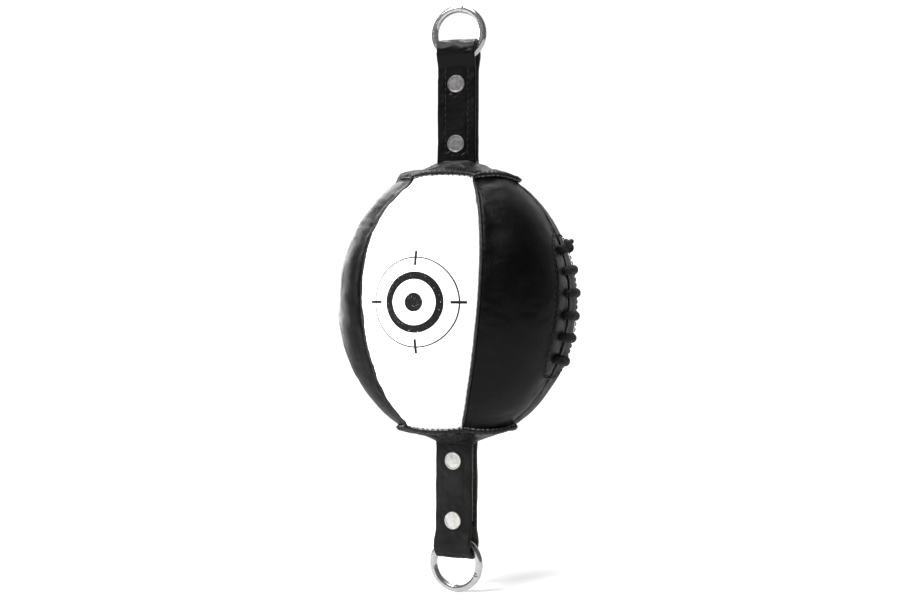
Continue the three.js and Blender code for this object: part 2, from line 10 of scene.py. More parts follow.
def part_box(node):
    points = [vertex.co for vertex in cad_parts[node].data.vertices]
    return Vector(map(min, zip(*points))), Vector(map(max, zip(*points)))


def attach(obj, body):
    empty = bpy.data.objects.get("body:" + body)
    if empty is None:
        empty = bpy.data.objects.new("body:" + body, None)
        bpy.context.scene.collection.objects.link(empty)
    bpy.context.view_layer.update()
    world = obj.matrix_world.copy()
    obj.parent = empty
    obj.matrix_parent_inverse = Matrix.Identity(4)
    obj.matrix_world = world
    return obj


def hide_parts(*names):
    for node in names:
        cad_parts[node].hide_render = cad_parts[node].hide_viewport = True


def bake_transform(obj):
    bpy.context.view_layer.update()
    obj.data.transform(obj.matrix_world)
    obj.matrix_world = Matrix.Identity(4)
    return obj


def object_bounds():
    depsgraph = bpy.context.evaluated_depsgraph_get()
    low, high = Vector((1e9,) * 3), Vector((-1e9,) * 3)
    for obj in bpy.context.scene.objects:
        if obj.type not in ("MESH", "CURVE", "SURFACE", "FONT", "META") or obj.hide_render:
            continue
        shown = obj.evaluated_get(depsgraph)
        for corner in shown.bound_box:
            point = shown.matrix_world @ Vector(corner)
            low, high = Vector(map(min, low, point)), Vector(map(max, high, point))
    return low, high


# A double end bag: an oval leather ball of six panels, laced down one side, with a strap and a ring at each
# end.
#
# Metres, in the CAD frame: the origin is the middle of the ball, -Y is out of the white panel and +X is out
# of the lacing. Angles round the ball are in degrees from -Y towards +X, and a latitude is in radians.

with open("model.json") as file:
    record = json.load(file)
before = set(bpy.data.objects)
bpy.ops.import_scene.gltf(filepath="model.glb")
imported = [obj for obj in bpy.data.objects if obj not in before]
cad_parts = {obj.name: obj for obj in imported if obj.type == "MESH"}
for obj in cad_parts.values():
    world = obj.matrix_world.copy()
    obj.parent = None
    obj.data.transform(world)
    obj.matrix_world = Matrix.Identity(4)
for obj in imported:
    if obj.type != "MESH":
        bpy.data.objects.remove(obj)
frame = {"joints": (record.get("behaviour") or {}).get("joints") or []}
cad_low, cad_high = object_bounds()

MM = 0.001
JOINTS = {joint["name"]: joint for joint in frame["joints"]}


def middle_of(node):
    low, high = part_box(node)
    return (low + high) / 2


# ---- Driving dimensions, from the frame ----

BALL_RADIUS = -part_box("panel_front")[0].y
BALL_HALF_HEIGHT = 1.173 * BALL_RADIUS  # of the whole oval, which the caps cut short
RIM_RADIUS = 0.4854 * BALL_RADIUS  # where a seam meets the cap
STRAP_WIDTH = 28.6 * MM
FLEX_HEIGHT = JOINTS["top_strap_flex"]["pos_m"][2]
END_TWIST = math.degrees(math.asin(JOINTS["top_strap_flex"]["axis"][1]))
EYE_HEIGHTS = {end: abs(JOINTS[f"{end}_ring_swing"]["pos_m"][2]) for end in ("top", "bottom")}
RING_HEIGHTS = {end: abs(middle_of(f"{end}_ring").z) for end in ("top", "bottom")}
RIVET_HEIGHTS = {place: middle_of(f"top_{place}_rivet").z for place in ("inner", "outer")}

# The ball, in the proportions of the frame
PANEL_ANGLE = 60
SEAM_DIP = 0.03  # how far a seam lies inside the middle of a panel, as a share of the radius
RIM_STRAIGHTNESS = 0.65  # 0 is a round cap, 1 is a hexagon with straight sides
TWIST_HEIGHT = 88 * MM
BOWED_SEAM = 330  # bows out to the left of the white panel, mostly above the equator
SEAM_BOW = 7  # degrees, at most
BOW_REACH = 50  # degrees to each side of the seam that move with it
BOW_GROWS = (-50 * MM, 55 * MM)  # heights between which the bow sets in
BOW_FADES = (60 * MM, 94 * MM)
LACED_SEAM = 90
LEATHER = 1.4 * MM

# The sewn edge, where cap and panels turn out of the ball together
EDGE_LENGTH = 5.0 * MM  # in the middle of a panel
EDGE_SHORTER = 1.7 * MM  # at a seam
EDGE_LEAN = math.radians(92)  # from straight out of the ball, folded down over the panels
CAP_EDGE = 1.3 * MM
EDGE_STITCHES = 68  # round each cap
PANEL_SHARES = {"white": 0.52, "black": 0.95}  # of the sewn edge's length that the panels reach

# The slit and its lacing
SLIT_MIDDLE = -2.5 * MM
SLIT_HALF = 56.5 * MM
FACING_HALF_WIDTH = 26 * MM
FACING_HALF_LENGTH = 52.5 * MM
FACING_ROUNDNESS = 2.5  # of its outline: 2 is an ellipse, and more is boxier
FACING_END_SQUARENESS = 5
FACING_STITCH_REACH = 0.985
LACE_BARS = 6
LOWEST_BAR = -41 * MM
BAR_SPACING = 16 * MM
EYELET_OFFSET = 7.5 * MM
EYELET_RADIUS = 2.9 * MM

# The strap
STRAP_HALF = 6 * MM  # half the thickness of the riveted stack
STRAP_LEATHER = 2.7 * MM
EYE_RADIUS = 7.5 * MM
RING_WIRE = 2.8 * MM
BEND_START = FLEX_HEIGHT - 8 * MM

# ---- Numbers on grids ----


def ripples(points, wavelength, seed, count=14):
    """Smooth unevenness, mostly from -1 to 1: waves of one length in seeded random directions."""
    rng = np.random.default_rng(seed)
    directions = rng.normal(size=(count, 3))
    directions /= np.linalg.norm(directions, axis=1)[:, None]
    phases = rng.uniform(0, 2 * np.pi, count)
    waves = np.sin(points @ directions.T * (2 * np.pi / wavelength) + phases)
    return waves.sum(-1) * math.sqrt(1.2 / count)


def bell(distance, width):
    """1 at no distance, falling smoothly to nothing over about twice the width."""
    return np.exp(-((distance / width) ** 2))


def smooth_step(low, high, value):
    share = np.clip((value - low) / (high - low), 0, 1)
    return share * share * (3 - 2 * share)


def rounded(points, times):
    """A path along axis 0 with its corners cut off, and cut again."""
    for _ in range(times):
        near = 0.75 * points[:-1] + 0.25 * points[1:]
        far = 0.25 * points[:-1] + 0.75 * points[1:]
        middle = np.stack([near, far], axis=1).reshape(-1, *points.shape[1:])
        points = np.concatenate([points[:1], middle, points[-1:]])
    return points


def respaced(path, spacing):
    """A path's points about that far apart. Columns past the third are carried along."""
    steps = np.linalg.norm(np.diff(path[:, :3], axis=0), axis=1)
    along = np.concatenate([[0], np.cumsum(steps)])
    wanted = np.linspace(0, along[-1], max(2, int(round(along[-1] / spacing)) + 1))
    return np.stack([np.interp(wanted, along, column) for column in path.T], axis=1)


def slope(grid, axis, wrapped):
    if not wrapped:
        return np.gradient(grid, axis=axis)
    return (np.roll(grid, -1, axis) - np.roll(grid, 1, axis)) / 2


def normals_of(grid, wrapped=False):
    """Unit normals of a grid of points, out of the side where columns run east and rows run north."""
    normals = np.cross(slope(grid, 1, wrapped), slope(grid, 0, False))
    return normals / np.maximum(np.linalg.norm(normals, axis=-1, keepdims=True), 1e-12)


# ---- Meshes ----

OUTSIDE, INSIDE, EDGE = 0, 1, 2  # kinds of face on a sheet of leather


def make_object(name, points, faces, materials, kinds=None, crease=50):
    mesh = bpy.data.meshes.new(name)
    mesh.from_pydata(points.reshape(-1, 3).tolist(), [], [list(map(int, face)) for face in faces])
    for material in materials:
        mesh.materials.append(material)
    if kinds is not None:
        mesh.polygons.foreach_set("material_index", np.asarray(kinds, np.int32))
    made = bpy.data.objects.new(name, mesh)
    bpy.context.scene.collection.objects.link(made)
    weld(mesh)
    mesh.shade_smooth()
    mesh.set_sharp_from_angle(angle=math.radians(crease))
    remember_place(mesh)
    return made


def weld(mesh):
    """Joins corners that meet, drops edges and points that no face needs, and turns every face outwards."""
    work = bmesh.new()
    work.from_mesh(mesh)
    bmesh.ops.remove_doubles(work, verts=work.verts, dist=1e-7)
    loose_edges = [edge for edge in work.edges if not edge.link_faces]
    bmesh.ops.delete(work, geom=loose_edges, context="EDGES")
    loose = [corner for corner in work.verts if not corner.link_faces]
    bmesh.ops.delete(work, geom=loose, context="VERTS")
    bmesh.ops.recalc_face_normals(work, faces=work.faces)
    work.to_mesh(mesh)
    work.free()


def remember_place(mesh):
    """Stores where each point is at rest, in millimetres, so that materials stay put when a piece bends."""
    spots = np.empty(len(mesh.vertices) * 3, np.float32)
    mesh.vertices.foreach_get("co", spots)
    stored = mesh.attributes.new("place", "FLOAT_VECTOR", "POINT")
    stored.data.foreach_set("vector", spots / MM)


def grid_faces(ids):
    return np.stack([ids[:-1, :-1], ids[:-1, 1:], ids[1:, 1:], ids[1:, :-1]], axis=-1).reshape(-1, 4)


def make_sheet(name, outer, inner, materials, wrapped=False, kept=None, crease=50):
    """A closed sheet between two grids of points. kept says which cells are there: it can have holes."""
    rows, columns = outer.shape[:2]
    ids = np.arange(rows * columns).reshape(rows, columns)
    if wrapped:
        ids = np.hstack([ids, ids[:, :1]])
    if kept is None:
        kept = np.ones((ids.shape[0] - 1, ids.shape[1] - 1), bool)
    below = ids + rows * columns
    top = grid_faces(ids)[kept.ravel()]
    bottom = grid_faces(below)[kept.ravel()][:, ::-1]
    walls = []
    beyond = np.pad(kept, 1)
    if wrapped:
        beyond[:, 0] = beyond[:, -2]
        beyond[:, -1] = beyond[:, 1]
    open_south = kept & ~beyond[:-2, 1:-1]
    open_north = kept & ~beyond[2:, 1:-1]
    open_west = kept & ~beyond[1:-1, :-2]
    open_east = kept & ~beyond[1:-1, 2:]
    sides = [
        (open_south, ids[:-1, 1:], ids[:-1, :-1], below[:-1, :-1], below[:-1, 1:]),
        (open_north, ids[1:, :-1], ids[1:, 1:], below[1:, 1:], below[1:, :-1]),
        (open_west, ids[:-1, :-1], ids[1:, :-1], below[1:, :-1], below[:-1, :-1]),
        (open_east, ids[1:, 1:], ids[:-1, 1:], below[:-1, 1:], below[1:, 1:]),
    ]
    for is_open, *corners in sides:
        walls.append(np.stack([corner[is_open] for corner in corners], axis=-1))
    walls = np.vstack(walls)
    faces = np.vstack([top, bottom, walls])
    kinds = [OUTSIDE] * len(top) + [INSIDE] * len(bottom) + [EDGE] * len(walls)
    points = np.concatenate([outer.reshape(-1, 3), inner.reshape(-1, 3)])
    return make_object(name, points, faces, materials, kinds, crease)


def frames_along(path, up_hint):
    """Unit vectors along, across and up at each point of a path."""
    along = np.gradient(path, axis=0)
    along /= np.linalg.norm(along, axis=1)[:, None]
    across = np.cross(along, up_hint)
    across /= np.linalg.norm(across, axis=1)[:, None]
    return along, across, np.cross(across, along)


def tube(path, up_hint, sections, closed=False):
    """Points and faces of sections swept along a path. sections is (path, corners, 2), across and up."""
    _, across, up = frames_along(path, up_hint)
    points = path[:, None] + sections[..., :1] * across[:, None] + sections[..., 1:] * up[:, None]
    count, corners = sections.shape[:2]
    ids = np.arange(count * corners).reshape(count, corners)
    ids = np.hstack([ids, ids[:, :1]])
    if closed:
        ids = np.vstack([ids, ids[:1]])
    faces = grid_faces(ids).tolist()
    if not closed:
        faces.append(ids[0, :-1][::-1].tolist())
        faces.append(ids[-1, :-1].tolist())
    return points.reshape(-1, 3), faces


def full_turn(count):
    """Angles all the way round, in radians, without the first one again at the end."""
    return np.linspace(0, 2 * np.pi, count, endpoint=False)


def circle(corners):
    turn = full_turn(corners)
    return np.stack([np.cos(turn), np.sin(turn)], axis=-1)


def joined(parts):
    points, faces, count = [], [], 0
    for part_points, part_faces in parts:
        points.append(part_points)
        faces += [[corner + count for corner in face] for face in part_faces]
        count += len(part_points)
    return np.vstack(points), faces


def stitches(path, normals, pitch, length, radius):
    """Points and faces of thread seen as a row of short stitches that dive into the leather at both ends."""
    row = respaced(np.hstack([path, normals]), pitch)
    centres, lifts = row[:, :3], row[:, 3:]
    share = np.linspace(-1, 1, 7)
    along, _, up = frames_along(centres, lifts)
    thickness = radius * np.sqrt(1.1 - 0.9 * share**4)
    sections = circle(6)[None] * thickness[:, None, None]
    parts = []
    for centre, forward, outward in zip(centres, along, up):
        dive = radius * (0.5 - 1.8 * share**4)
        spine = centre + np.outer(share * length / 2, forward) + np.outer(dive, outward)
        parts.append(tube(spine, np.tile(outward, (7, 1)), sections))
    return joined(parts)


def lathe(profile, corners):
    """Points and faces of a profile of (radius, height) from axis to axis, turned about Z."""
    profile = np.asarray(profile, float)
    ring = circle(corners)
    points = np.empty((len(profile), corners, 3))
    points[..., :2] = profile[:, None, :1] * ring[None]
    points[..., 2] = profile[:, 1:]
    ids = np.arange(len(profile) * corners).reshape(-1, corners)
    ids = np.hstack([ids, ids[:, :1]])
    return points.reshape(-1, 3), grid_faces(ids).tolist()


# ---- Materials ----


class Finish:
    """One material, built by short calls that each add a node and return its output."""

    def __init__(self, name):
        self.material = bpy.data.materials.new(name)
        self.material.use_nodes = True
        self.nodes = self.material.node_tree.nodes
        self.surface = self.nodes["Principled BSDF"]

    def feed(self, socket, value):
        if isinstance(value, bpy.types.NodeSocket):
            self.material.node_tree.links.new(value, socket)
        elif socket.type == "RGBA":
            socket.default_value = (*value, 1)
        else:
            socket.default_value = value

    def add(self, kind, inputs, output=0, **settings):
        node = self.nodes.new("ShaderNode" + kind)
        for key, value in settings.items():
            setattr(node, key, value)
        for socket, value in inputs.items():
            self.feed(node.inputs[socket], value)
        return node.outputs[output]

    def place(self):
        return self.add("Attribute", {}, "Vector", attribute_name="place")

    def stretched(self, scale, spot=None):
        return self.add("VectorMath", {0: spot or self.place(), 1: scale}, operation="MULTIPLY")

    def noise(self, size, detail=3.0, roughness=0.55, spot=None):
        inputs = {"Vector": spot or self.place(), "Scale": 1 / size, "Detail": detail, "Roughness": roughness}
        return self.add("TexNoise", inputs, "Fac")

    def cells(self, size, spot=None, feature="DISTANCE_TO_EDGE"):
        inputs = {"Vector": spot or self.place(), "Scale": 1 / size}
        return self.add("TexVoronoi", inputs, "Distance", feature=feature)

    def ramp(self, value, low, high, to_low=0.0, to_high=1.0):
        inputs = {"Value": value, 1: low, 2: high, 3: to_low, 4: to_high}
        return self.add("MapRange", inputs, interpolation_type="SMOOTHSTEP")

    def sum(self, a, b, share=1.0):
        return self.add("Math", {0: b, 1: share, 2: a}, operation="MULTIPLY_ADD")

    def math(self, operation, a, b=0.0):
        return self.add("Math", {0: a, 1: b}, operation=operation)

    def blend(self, factor, a, b):
        node = self.nodes.new("ShaderNodeMix")
        node.data_type = "RGBA"
        self.feed(node.inputs[0], factor)
        self.feed(node.inputs[6], a)
        self.feed(node.inputs[7], b)
        return node.outputs[2]

    def bump(self, height, depth, under=None):
        inputs = {"Height": height, "Distance": depth}
        if under is not None:
            inputs["Normal"] = under
        return self.add("Bump", inputs)

    def done(self, **inputs):
        for socket, value in inputs.items():
            self.feed(self.surface.inputs[socket.replace("_", " ")], value)
        return self.material


def grain(finish, pebble, depth):
    """Bump of leather's pebbled grain, with finer pores and soft long creases."""
    place = finish.place()
    wander = finish.noise(3.0, 2.0)
    bent = finish.add("VectorMath", {0: place, 1: wander}, operation="ADD")
    pebbles = finish.ramp(finish.cells(pebble, bent), 0.0, 0.22)
    pores = finish.noise(0.28, 2.0)
    creases = finish.ramp(finish.cells(5.5, finish.stretched((1.0, 1.0, 0.55), bent)), 0.0, 0.05)
    height = finish.sum(finish.sum(finish.math("MULTIPLY", pebbles, 0.6), pores, 0.5), creases, 0.35)
    return finish.bump(height, depth)


def black_leather(name="black_leather", gloss=0.34, base=0.0045):
    finish = Finish(name)
    patch = finish.noise(16.0, 4.0)
    scuffs = finish.ramp(finish.noise(1.6, 5.0, 0.7, finish.stretched((1.0, 1.0, 0.25))), 0.62, 0.78)
    dark = (base, base, base * 1.06)
    worn = (base * 4.2, base * 4.0, base * 3.8)
    tone = finish.blend(finish.ramp(patch, 0.3, 0.75), dark, (base * 1.7, base * 1.7, base * 1.75))
    colour = finish.blend(finish.math("MULTIPLY", scuffs, 0.35), tone, worn)
    rough = finish.sum(finish.ramp(patch, 0.25, 0.8, gloss - 0.05, gloss + 0.09), scuffs, 0.1)
    return finish.done(
        Base_Color=colour,
        Roughness=rough,
        Normal=grain(finish, 0.9, 0.00009),
        Coat_Weight=0.08,
        Coat_Roughness=0.22,
        Specular_IOR_Level=0.35,
    )


def print_mask(finish):
    """An aim mark on the white panel: a dot, a bold ring, a fine ring and four ticks."""
    axes = finish.add("SeparateXYZ", {0: finish.place()}, "X")
    split = axes.node
    across, up = split.outputs["X"], split.outputs["Z"]
    radius = finish.math("SQRT", finish.sum(finish.math("MULTIPLY", up, up), across, across))

    def band(value, middle, half):
        away = finish.math("ABSOLUTE", finish.math("SUBTRACT", value, middle))
        return finish.ramp(away, half - 0.12, half + 0.12, 1.0, 0.0)

    marks = [band(radius, 0.0, 6.5), band(radius, 18.5, 2.6), band(radius, 31.0, 0.45)]
    for along, beside in ((up, across), (across, up)):
        reach = band(finish.math("ABSOLUTE", along), 30.5, 5.0)
        marks.append(finish.math("MULTIPLY", reach, band(beside, 0.0, 0.9)))
    mask = marks[0]
    for mark in marks[1:]:
        mask = finish.math("MAXIMUM", mask, mark)
    wear = finish.ramp(finish.noise(1.1, 5.0, 0.7), 0.30, 0.38)
    outward = finish.ramp(split.outputs["Y"], -40.0, -30.0, 1.0, 0.0)
    return finish.math("MULTIPLY", finish.math("MULTIPLY", mask, wear), outward)


def white_leather():
    finish = Finish("white_leather")
    patch = finish.noise(22.0, 4.0)
    tone = finish.blend(finish.ramp(patch, 0.3, 0.75), (0.90, 0.90, 0.895), (0.86, 0.86, 0.855))
    smudge = finish.ramp(finish.noise(7.0, 6.0, 0.65), 0.60, 0.82)
    dusty = finish.blend(finish.math("MULTIPLY", smudge, 0.25), tone, (0.70, 0.69, 0.67))
    ink = print_mask(finish)
    colour = finish.blend(ink, dusty, (0.012, 0.012, 0.013))
    rough = finish.sum(finish.ramp(patch, 0.25, 0.8, 0.36, 0.46), ink, 0.08)
    return finish.done(
        Base_Color=colour,
        Roughness=rough,
        Normal=grain(finish, 0.8, 0.00006),
        Coat_Weight=0.1,
        Coat_Roughness=0.25,
    )


def fibrous(name, low, high, rough=0.9, size=0.5, depth=0.0002, sheen=0.3):
    """The flesh side or a cut edge of leather, or another short-fibred surface."""
    finish = Finish(name)
    fuzz = finish.noise(size, 6.0, 0.7)
    patch = finish.noise(size * 12, 3.0)
    tone = finish.blend(finish.ramp(patch, 0.3, 0.7), low, high)
    darker = tuple(0.45 * value for value in low)
    colour = finish.blend(finish.ramp(fuzz, 0.35, 0.6), darker, tone)
    return finish.done(
        Base_Color=colour,
        Roughness=rough,
        Normal=finish.bump(fuzz, depth),
        Sheen_Weight=sheen,
        Specular_IOR_Level=0.25,
    )


def woven(name, low, high, size, depth=0.00025):
    """Yarn over and under, seen along Z and across."""
    finish = Finish(name)
    axes = finish.add("SeparateXYZ", {0: finish.place()}, "X").node
    turn = 2 * math.pi / size
    along = finish.math("SINE", finish.math("MULTIPLY", axes.outputs["Z"], turn))
    sideways = finish.sum(axes.outputs["X"], axes.outputs["Y"])
    across = finish.math("SINE", finish.math("MULTIPLY", sideways, turn))
    weave = finish.ramp(finish.math("MULTIPLY", along, across), -0.9, 0.9)
    fuzz = finish.noise(0.3, 4.0)
    colour = finish.blend(finish.sum(finish.math("MULTIPLY", weave, 0.7), fuzz, 0.4), low, high)
    return finish.done(
        Base_Color=colour,
        Roughness=0.85,
        Normal=finish.bump(finish.sum(weave, fuzz, 0.4), depth),
        Sheen_Weight=0.25,
        Specular_IOR_Level=0.3,
    )


def thread_finish(name, low, high):
    finish = Finish(name)
    strands = finish.noise(0.22, 4.0, 0.6, finish.stretched((1.0, 1.0, 2.2)))
    colour = finish.blend(strands, low, high)
    return finish.done(
        Base_Color=colour,
        Roughness=0.55,
        Normal=finish.bump(strands, 0.0001),
        Sheen_Weight=0.2,
    )


def metal(name, colour, rough, scratch, wear=0.25, polish=1.0):
    """Plated steel with fine scratches, dulled in patches.

    A polish below 1 scatters some of the light, as worn plating does.
    """
    finish = Finish(name)
    patch = finish.noise(2.5, 5.0, 0.6)
    lines = finish.noise(0.18, 4.0, 0.7, finish.stretched((1.0, 1.0, 0.12)))
    other = finish.noise(0.16, 4.0, 0.7, finish.stretched((0.15, 1.0, 1.0)))
    scratches = finish.sum(lines, other)
    dull = tuple(value * (1 - wear) for value in colour)
    tone = finish.blend(finish.ramp(patch, 0.35, 0.7), colour, dull)
    roughness = finish.sum(finish.ramp(patch, 0.3, 0.8, rough, rough + 0.14), lines, 0.08)
    return finish.done(
        Base_Color=tone,
        Metallic=polish,
        Roughness=roughness,
        Normal=finish.bump(scratches, scratch),
    )


def rubber():
    finish = Finish("bladder_rubber")
    cloudy = finish.noise(9.0, 5.0)
    colour = finish.blend(cloudy, (0.035, 0.017, 0.012), (0.075, 0.040, 0.028))
    dust = finish.ramp(finish.noise(1.2, 6.0, 0.7), 0.5, 0.8)
    powdery = finish.blend(finish.math("MULTIPLY", dust, 0.3), colour, (0.35, 0.33, 0.30))
    return finish.done(Base_Color=powdery, Roughness=0.6, Normal=finish.bump(cloudy, 0.0002))


RAW_EDGE = fibrous("raw_edge", (0.28, 0.26, 0.235), (0.42, 0.40, 0.36), size=0.35)
DARK_EDGE = fibrous("dark_edge", (0.010, 0.010, 0.010), (0.022, 0.021, 0.020), rough=0.75, size=0.35)
WHITE_EDGE = fibrous("white_edge", (0.62, 0.62, 0.60), (0.80, 0.80, 0.78), size=0.35)
FLESH = fibrous("flesh_side", (0.09, 0.08, 0.07), (0.15, 0.135, 0.12), size=0.7)
BLACK = black_leather(base=0.003)
WHITE = white_leather()
# The bottom strap's leather has a lighter base colour than the top strap's. This is painted light for the
# light the bottom strap catches from the floor.
STRAP_BLACK = {
    "top": black_leather("top_strap_leather", gloss=0.22, base=0.004),
    "bottom": black_leather("bottom_strap_leather", gloss=0.34, base=0.013),
}
# The piping's leather is painted lighter than the panels'. This is a painted highlight for the light its
# rolled edge catches.
WELT_BLACK = black_leather("welt_leather", gloss=0.24, base=0.03)
# The caps' leather is painted lighter than the panels'. This is painted sheen for the shine of their slopes
# and folds.
CAP_BLACK = black_leather("cap_leather", gloss=0.27, base=0.013)
THREAD = thread_finish("black_thread", (0.006, 0.006, 0.006), (0.022, 0.022, 0.023))
LACE = thread_finish("lace_cord", (0.008, 0.007, 0.006), (0.030, 0.026, 0.022))
LINING = woven("lining_fabric", (0.16, 0.155, 0.14), (0.34, 0.33, 0.30), 0.9)
WEBBING_CLOTH = woven("nylon_webbing", (0.007, 0.007, 0.008), (0.030, 0.030, 0.032), 1.6)
RUBBER = rubber()
# The top rivets' nickel is darker and duller than the bottom ones'. This is partly real wear and partly
# painted shade for the darker surroundings the top rivets mirror.
NICKEL = {
    "top": metal("rivet_nickel_worn_and_shaded", (0.40, 0.395, 0.385), 0.30, 0.00009, wear=0.45, polish=0.75),
    "bottom": metal("rivet_nickel", (0.76, 0.75, 0.73), 0.3, 0.00007, wear=0.22, polish=0.6),
}
CHROME = metal("ring_steel", (0.80, 0.80, 0.81), 0.07, 0.00001, wear=0.1, polish=0.86)

# ---- The ball's surface ----


def fullness(angle):
    """1 in the middle of a panel, and less towards a seam."""
    from_middle = angle - PANEL_ANGLE * np.round(angle / PANEL_ANGLE)
    return 1 - SEAM_DIP * (from_middle / (PANEL_ANGLE / 2)) ** 2


def radius_at(angle, latitude):
    return BALL_RADIUS * fullness(angle) * np.cos(latitude)


def outward_at(latitude):
    """How much of the outward direction is level, and how much is up."""
    level = np.cos(latitude) / BALL_RADIUS
    rise = np.sin(latitude) / BALL_HALF_HEIGHT
    length = np.hypot(level, rise)
    return level / length, rise / length


def bow(angle, height):
    """Degrees by which the bowed seam and what lies beside it are turned back."""
    aside = np.abs(angle - BOWED_SEAM - 360 * np.round((angle - BOWED_SEAM) / 360))
    share = smooth_step(*BOW_GROWS, height) * (1 - smooth_step(*BOW_FADES, height))
    return SEAM_BOW * share * (1 - smooth_step(0, BOW_REACH, aside))


def turned(angle, radius, height):
    """The point at an angle, radius and height, with the ball's twist and its bowed seam."""
    turn = np.radians(angle - bow(angle, height) + END_TWIST * np.clip(height / TWIST_HEIGHT, -1, 1))
    return np.stack([radius * np.sin(turn), -radius * np.cos(turn), height], axis=-1)


def ball_point(angle, latitude, depth=0.0):
    level, rise = outward_at(latitude)
    radius = radius_at(angle, latitude) - depth * level
    return turned(angle, radius, BALL_HALF_HEIGHT * np.sin(latitude) - depth * rise)


def rim_latitude(angle):
    """Where the cap's edge runs, nearer the axis in the middle of a panel than at a seam."""
    half = math.radians(PANEL_ANGLE / 2)
    from_middle = np.radians(angle - PANEL_ANGLE * np.round(angle / PANEL_ANGLE))
    straight = math.cos(half) / np.cos(from_middle)
    radius = RIM_RADIUS * (1 + RIM_STRAIGHTNESS * (straight - 1))
    return np.arccos(radius / (BALL_RADIUS * fullness(angle)))


def below_rim(angle, distance):
    return rim_latitude(angle) - distance / (BALL_HALF_HEIGHT - 11 * MM)


def seam_offset(angle):
    """Degrees from the nearest seam."""
    return PANEL_ANGLE / 2 - np.abs(angle - PANEL_ANGLE * np.round(angle / PANEL_ANGLE))


def edge_shape(angle, end):
    """Length of the sewn edge and wave of its tip: pulled at each stitch, with an ear at each seam."""
    turn = np.radians(angle)
    pull = np.cos(EDGE_STITCHES * turn)
    spots = np.stack([np.cos(turn), np.sin(turn), np.full_like(angle, end)], axis=-1) * RIM_RADIUS
    uneven = ripples(spots, 23 * MM, 5)
    fine = ripples(spots, 7 * MM, 6)
    ear = bell(seam_offset(angle), 4.0)
    shorter = EDGE_SHORTER * bell(seam_offset(angle), 14.0)
    length = EDGE_LENGTH - shorter + (-0.28 * pull + 0.3 * uneven + 0.2 * fine + 1.1 * ear) * MM
    wave = (-0.1 * pull + 0.3 * uneven + 0.2 * fine + 0.7 * ear) * MM
    return length, wave


def edge_point(angle, along, above, end):
    """A point on the sewn edge: along is a share of its length, and above is measured on its upper side."""
    latitude = rim_latitude(angle)
    level, rise = outward_at(latitude)
    cos, sin = math.cos(EDGE_LEAN), math.sin(EDGE_LEAN)
    out = (level * cos + rise * sin, rise * cos - level * sin)
    up = (-out[1], out[0])
    length, wave = edge_shape(angle, end)
    lift = above + wave * along**2
    radius = radius_at(angle, latitude) + out[0] * along * length + up[0] * lift
    height = BALL_HALF_HEIGHT * np.sin(latitude) + out[1] * along * length + up[1] * lift
    return radius, height


# ---- Inflating the ball ----

SWELL_COLUMNS = 180
SWELL_ROWS = 65
SWELL_LIMITS = (-2 * MM, 3 * MM)
SWELL_STEPS = 20
CLOTH_DEPTH = 1.2 * MM  # of the cloth at the start, inside the plain ball
WRINKLES = 0.35  # share of the cloth's small wrinkles that taut leather keeps
SEAM_TUCK = 1.2 * MM  # lost again within SEAM_TUCK_WIDTH degrees of each seam
SEAM_TUCK_WIDTH = 6
CLOTH = {
    "vertex_group_mass": "sewn",
    "mass": 0.6,
    "quality": 5,
    "tension_stiffness": 60,
    "compression_stiffness": 60,
    "shear_stiffness": 30,
    "bending_stiffness": 4,
    "use_pressure": True,
    "uniform_pressure_force": 6,
    "shrink_min": -0.012,
}


def smoothed(field):
    """The average of each value and its neighbours up to four rows and two columns away."""
    rows, padded = len(field), np.pad(field, ((4, 4), (0, 0)), mode="edge")
    total = 0
    for row in (-4, -2, 0, 2, 4):
        for column in (-2, 0, 2):
            total = total + np.roll(padded[4 + row:4 + row + rows], column, axis=1)
    return total / 15


def inflate():
    """How far cloth held at seams and rims stands out when blown up, over angle and share of height."""
    angle = np.linspace(0, 360, SWELL_COLUMNS, endpoint=False)
    up = np.linspace(-1, 1, SWELL_ROWS)
    latitude = up[:, None] * rim_latitude(angle)[None]
    angles = np.broadcast_to(angle, latitude.shape)
    rest = ball_point(angles, latitude, CLOTH_DEPTH)
    ids = np.arange(rest.shape[0] * rest.shape[1]).reshape(rest.shape[:2])
    mesh = bpy.data.meshes.new("cloth")
    mesh.from_pydata(rest.reshape(-1, 3).tolist(), [], grid_faces(np.hstack([ids, ids[:, :1]])).tolist())
    cloth = bpy.data.objects.new("cloth", mesh)
    bpy.context.scene.collection.objects.link(cloth)
    seam = seam_offset(angle) < 0.5
    held = np.concatenate([ids[0], ids[-1], ids[:, seam].ravel()])
    cloth.vertex_groups.new(name="sewn").add(held.tolist(), 1.0, "REPLACE")
    settings = cloth.modifiers.new("Cloth", "CLOTH").settings
    for name, value in CLOTH.items():
        setattr(settings, name, value)
    settings.effector_weights.gravity = 0
    for step in range(1, SWELL_STEPS + 1):
        bpy.context.scene.frame_set(step)
    shaped = cloth.evaluated_get(bpy.context.evaluated_depsgraph_get()).to_mesh()
    moved = np.empty(rest.size, np.float32)
    shaped.vertices.foreach_get("co", moved)
    bpy.context.scene.frame_set(1)
    bpy.data.objects.remove(cloth)
    out = ((moved.reshape(rest.shape) - rest) * normals_of(rest, wrapped=True)).sum(-1)
    out = np.clip(out, *SWELL_LIMITS)
    broad = smoothed(out)
    return broad + WRINKLES * (out - broad) - SEAM_TUCK * smooth_step(0, SEAM_TUCK_WIDTH, seam_offset(angle))


SWELL = inflate()


def swell_at(angle, up):
    """The inflated field, read between its points."""
    row = np.clip((up + 1) / 2 * (SWELL_ROWS - 1), 0, SWELL_ROWS - 1.001)
    column = (angle % 360) / 360 * SWELL_COLUMNS
    south, west = np.floor(row).astype(int), np.floor(column).astype(int)
    north_share, east_share = row - south, column - west
    west, east = west % SWELL_COLUMNS, (west + 1) % SWELL_COLUMNS
    low = SWELL[south, west] * (1 - east_share) + SWELL[south, east] * east_share
    high = SWELL[south + 1, west] * (1 - east_share) + SWELL[south + 1, east] * east_share
    return low * (1 - north_share) + high * north_share


# ---- Panels ----

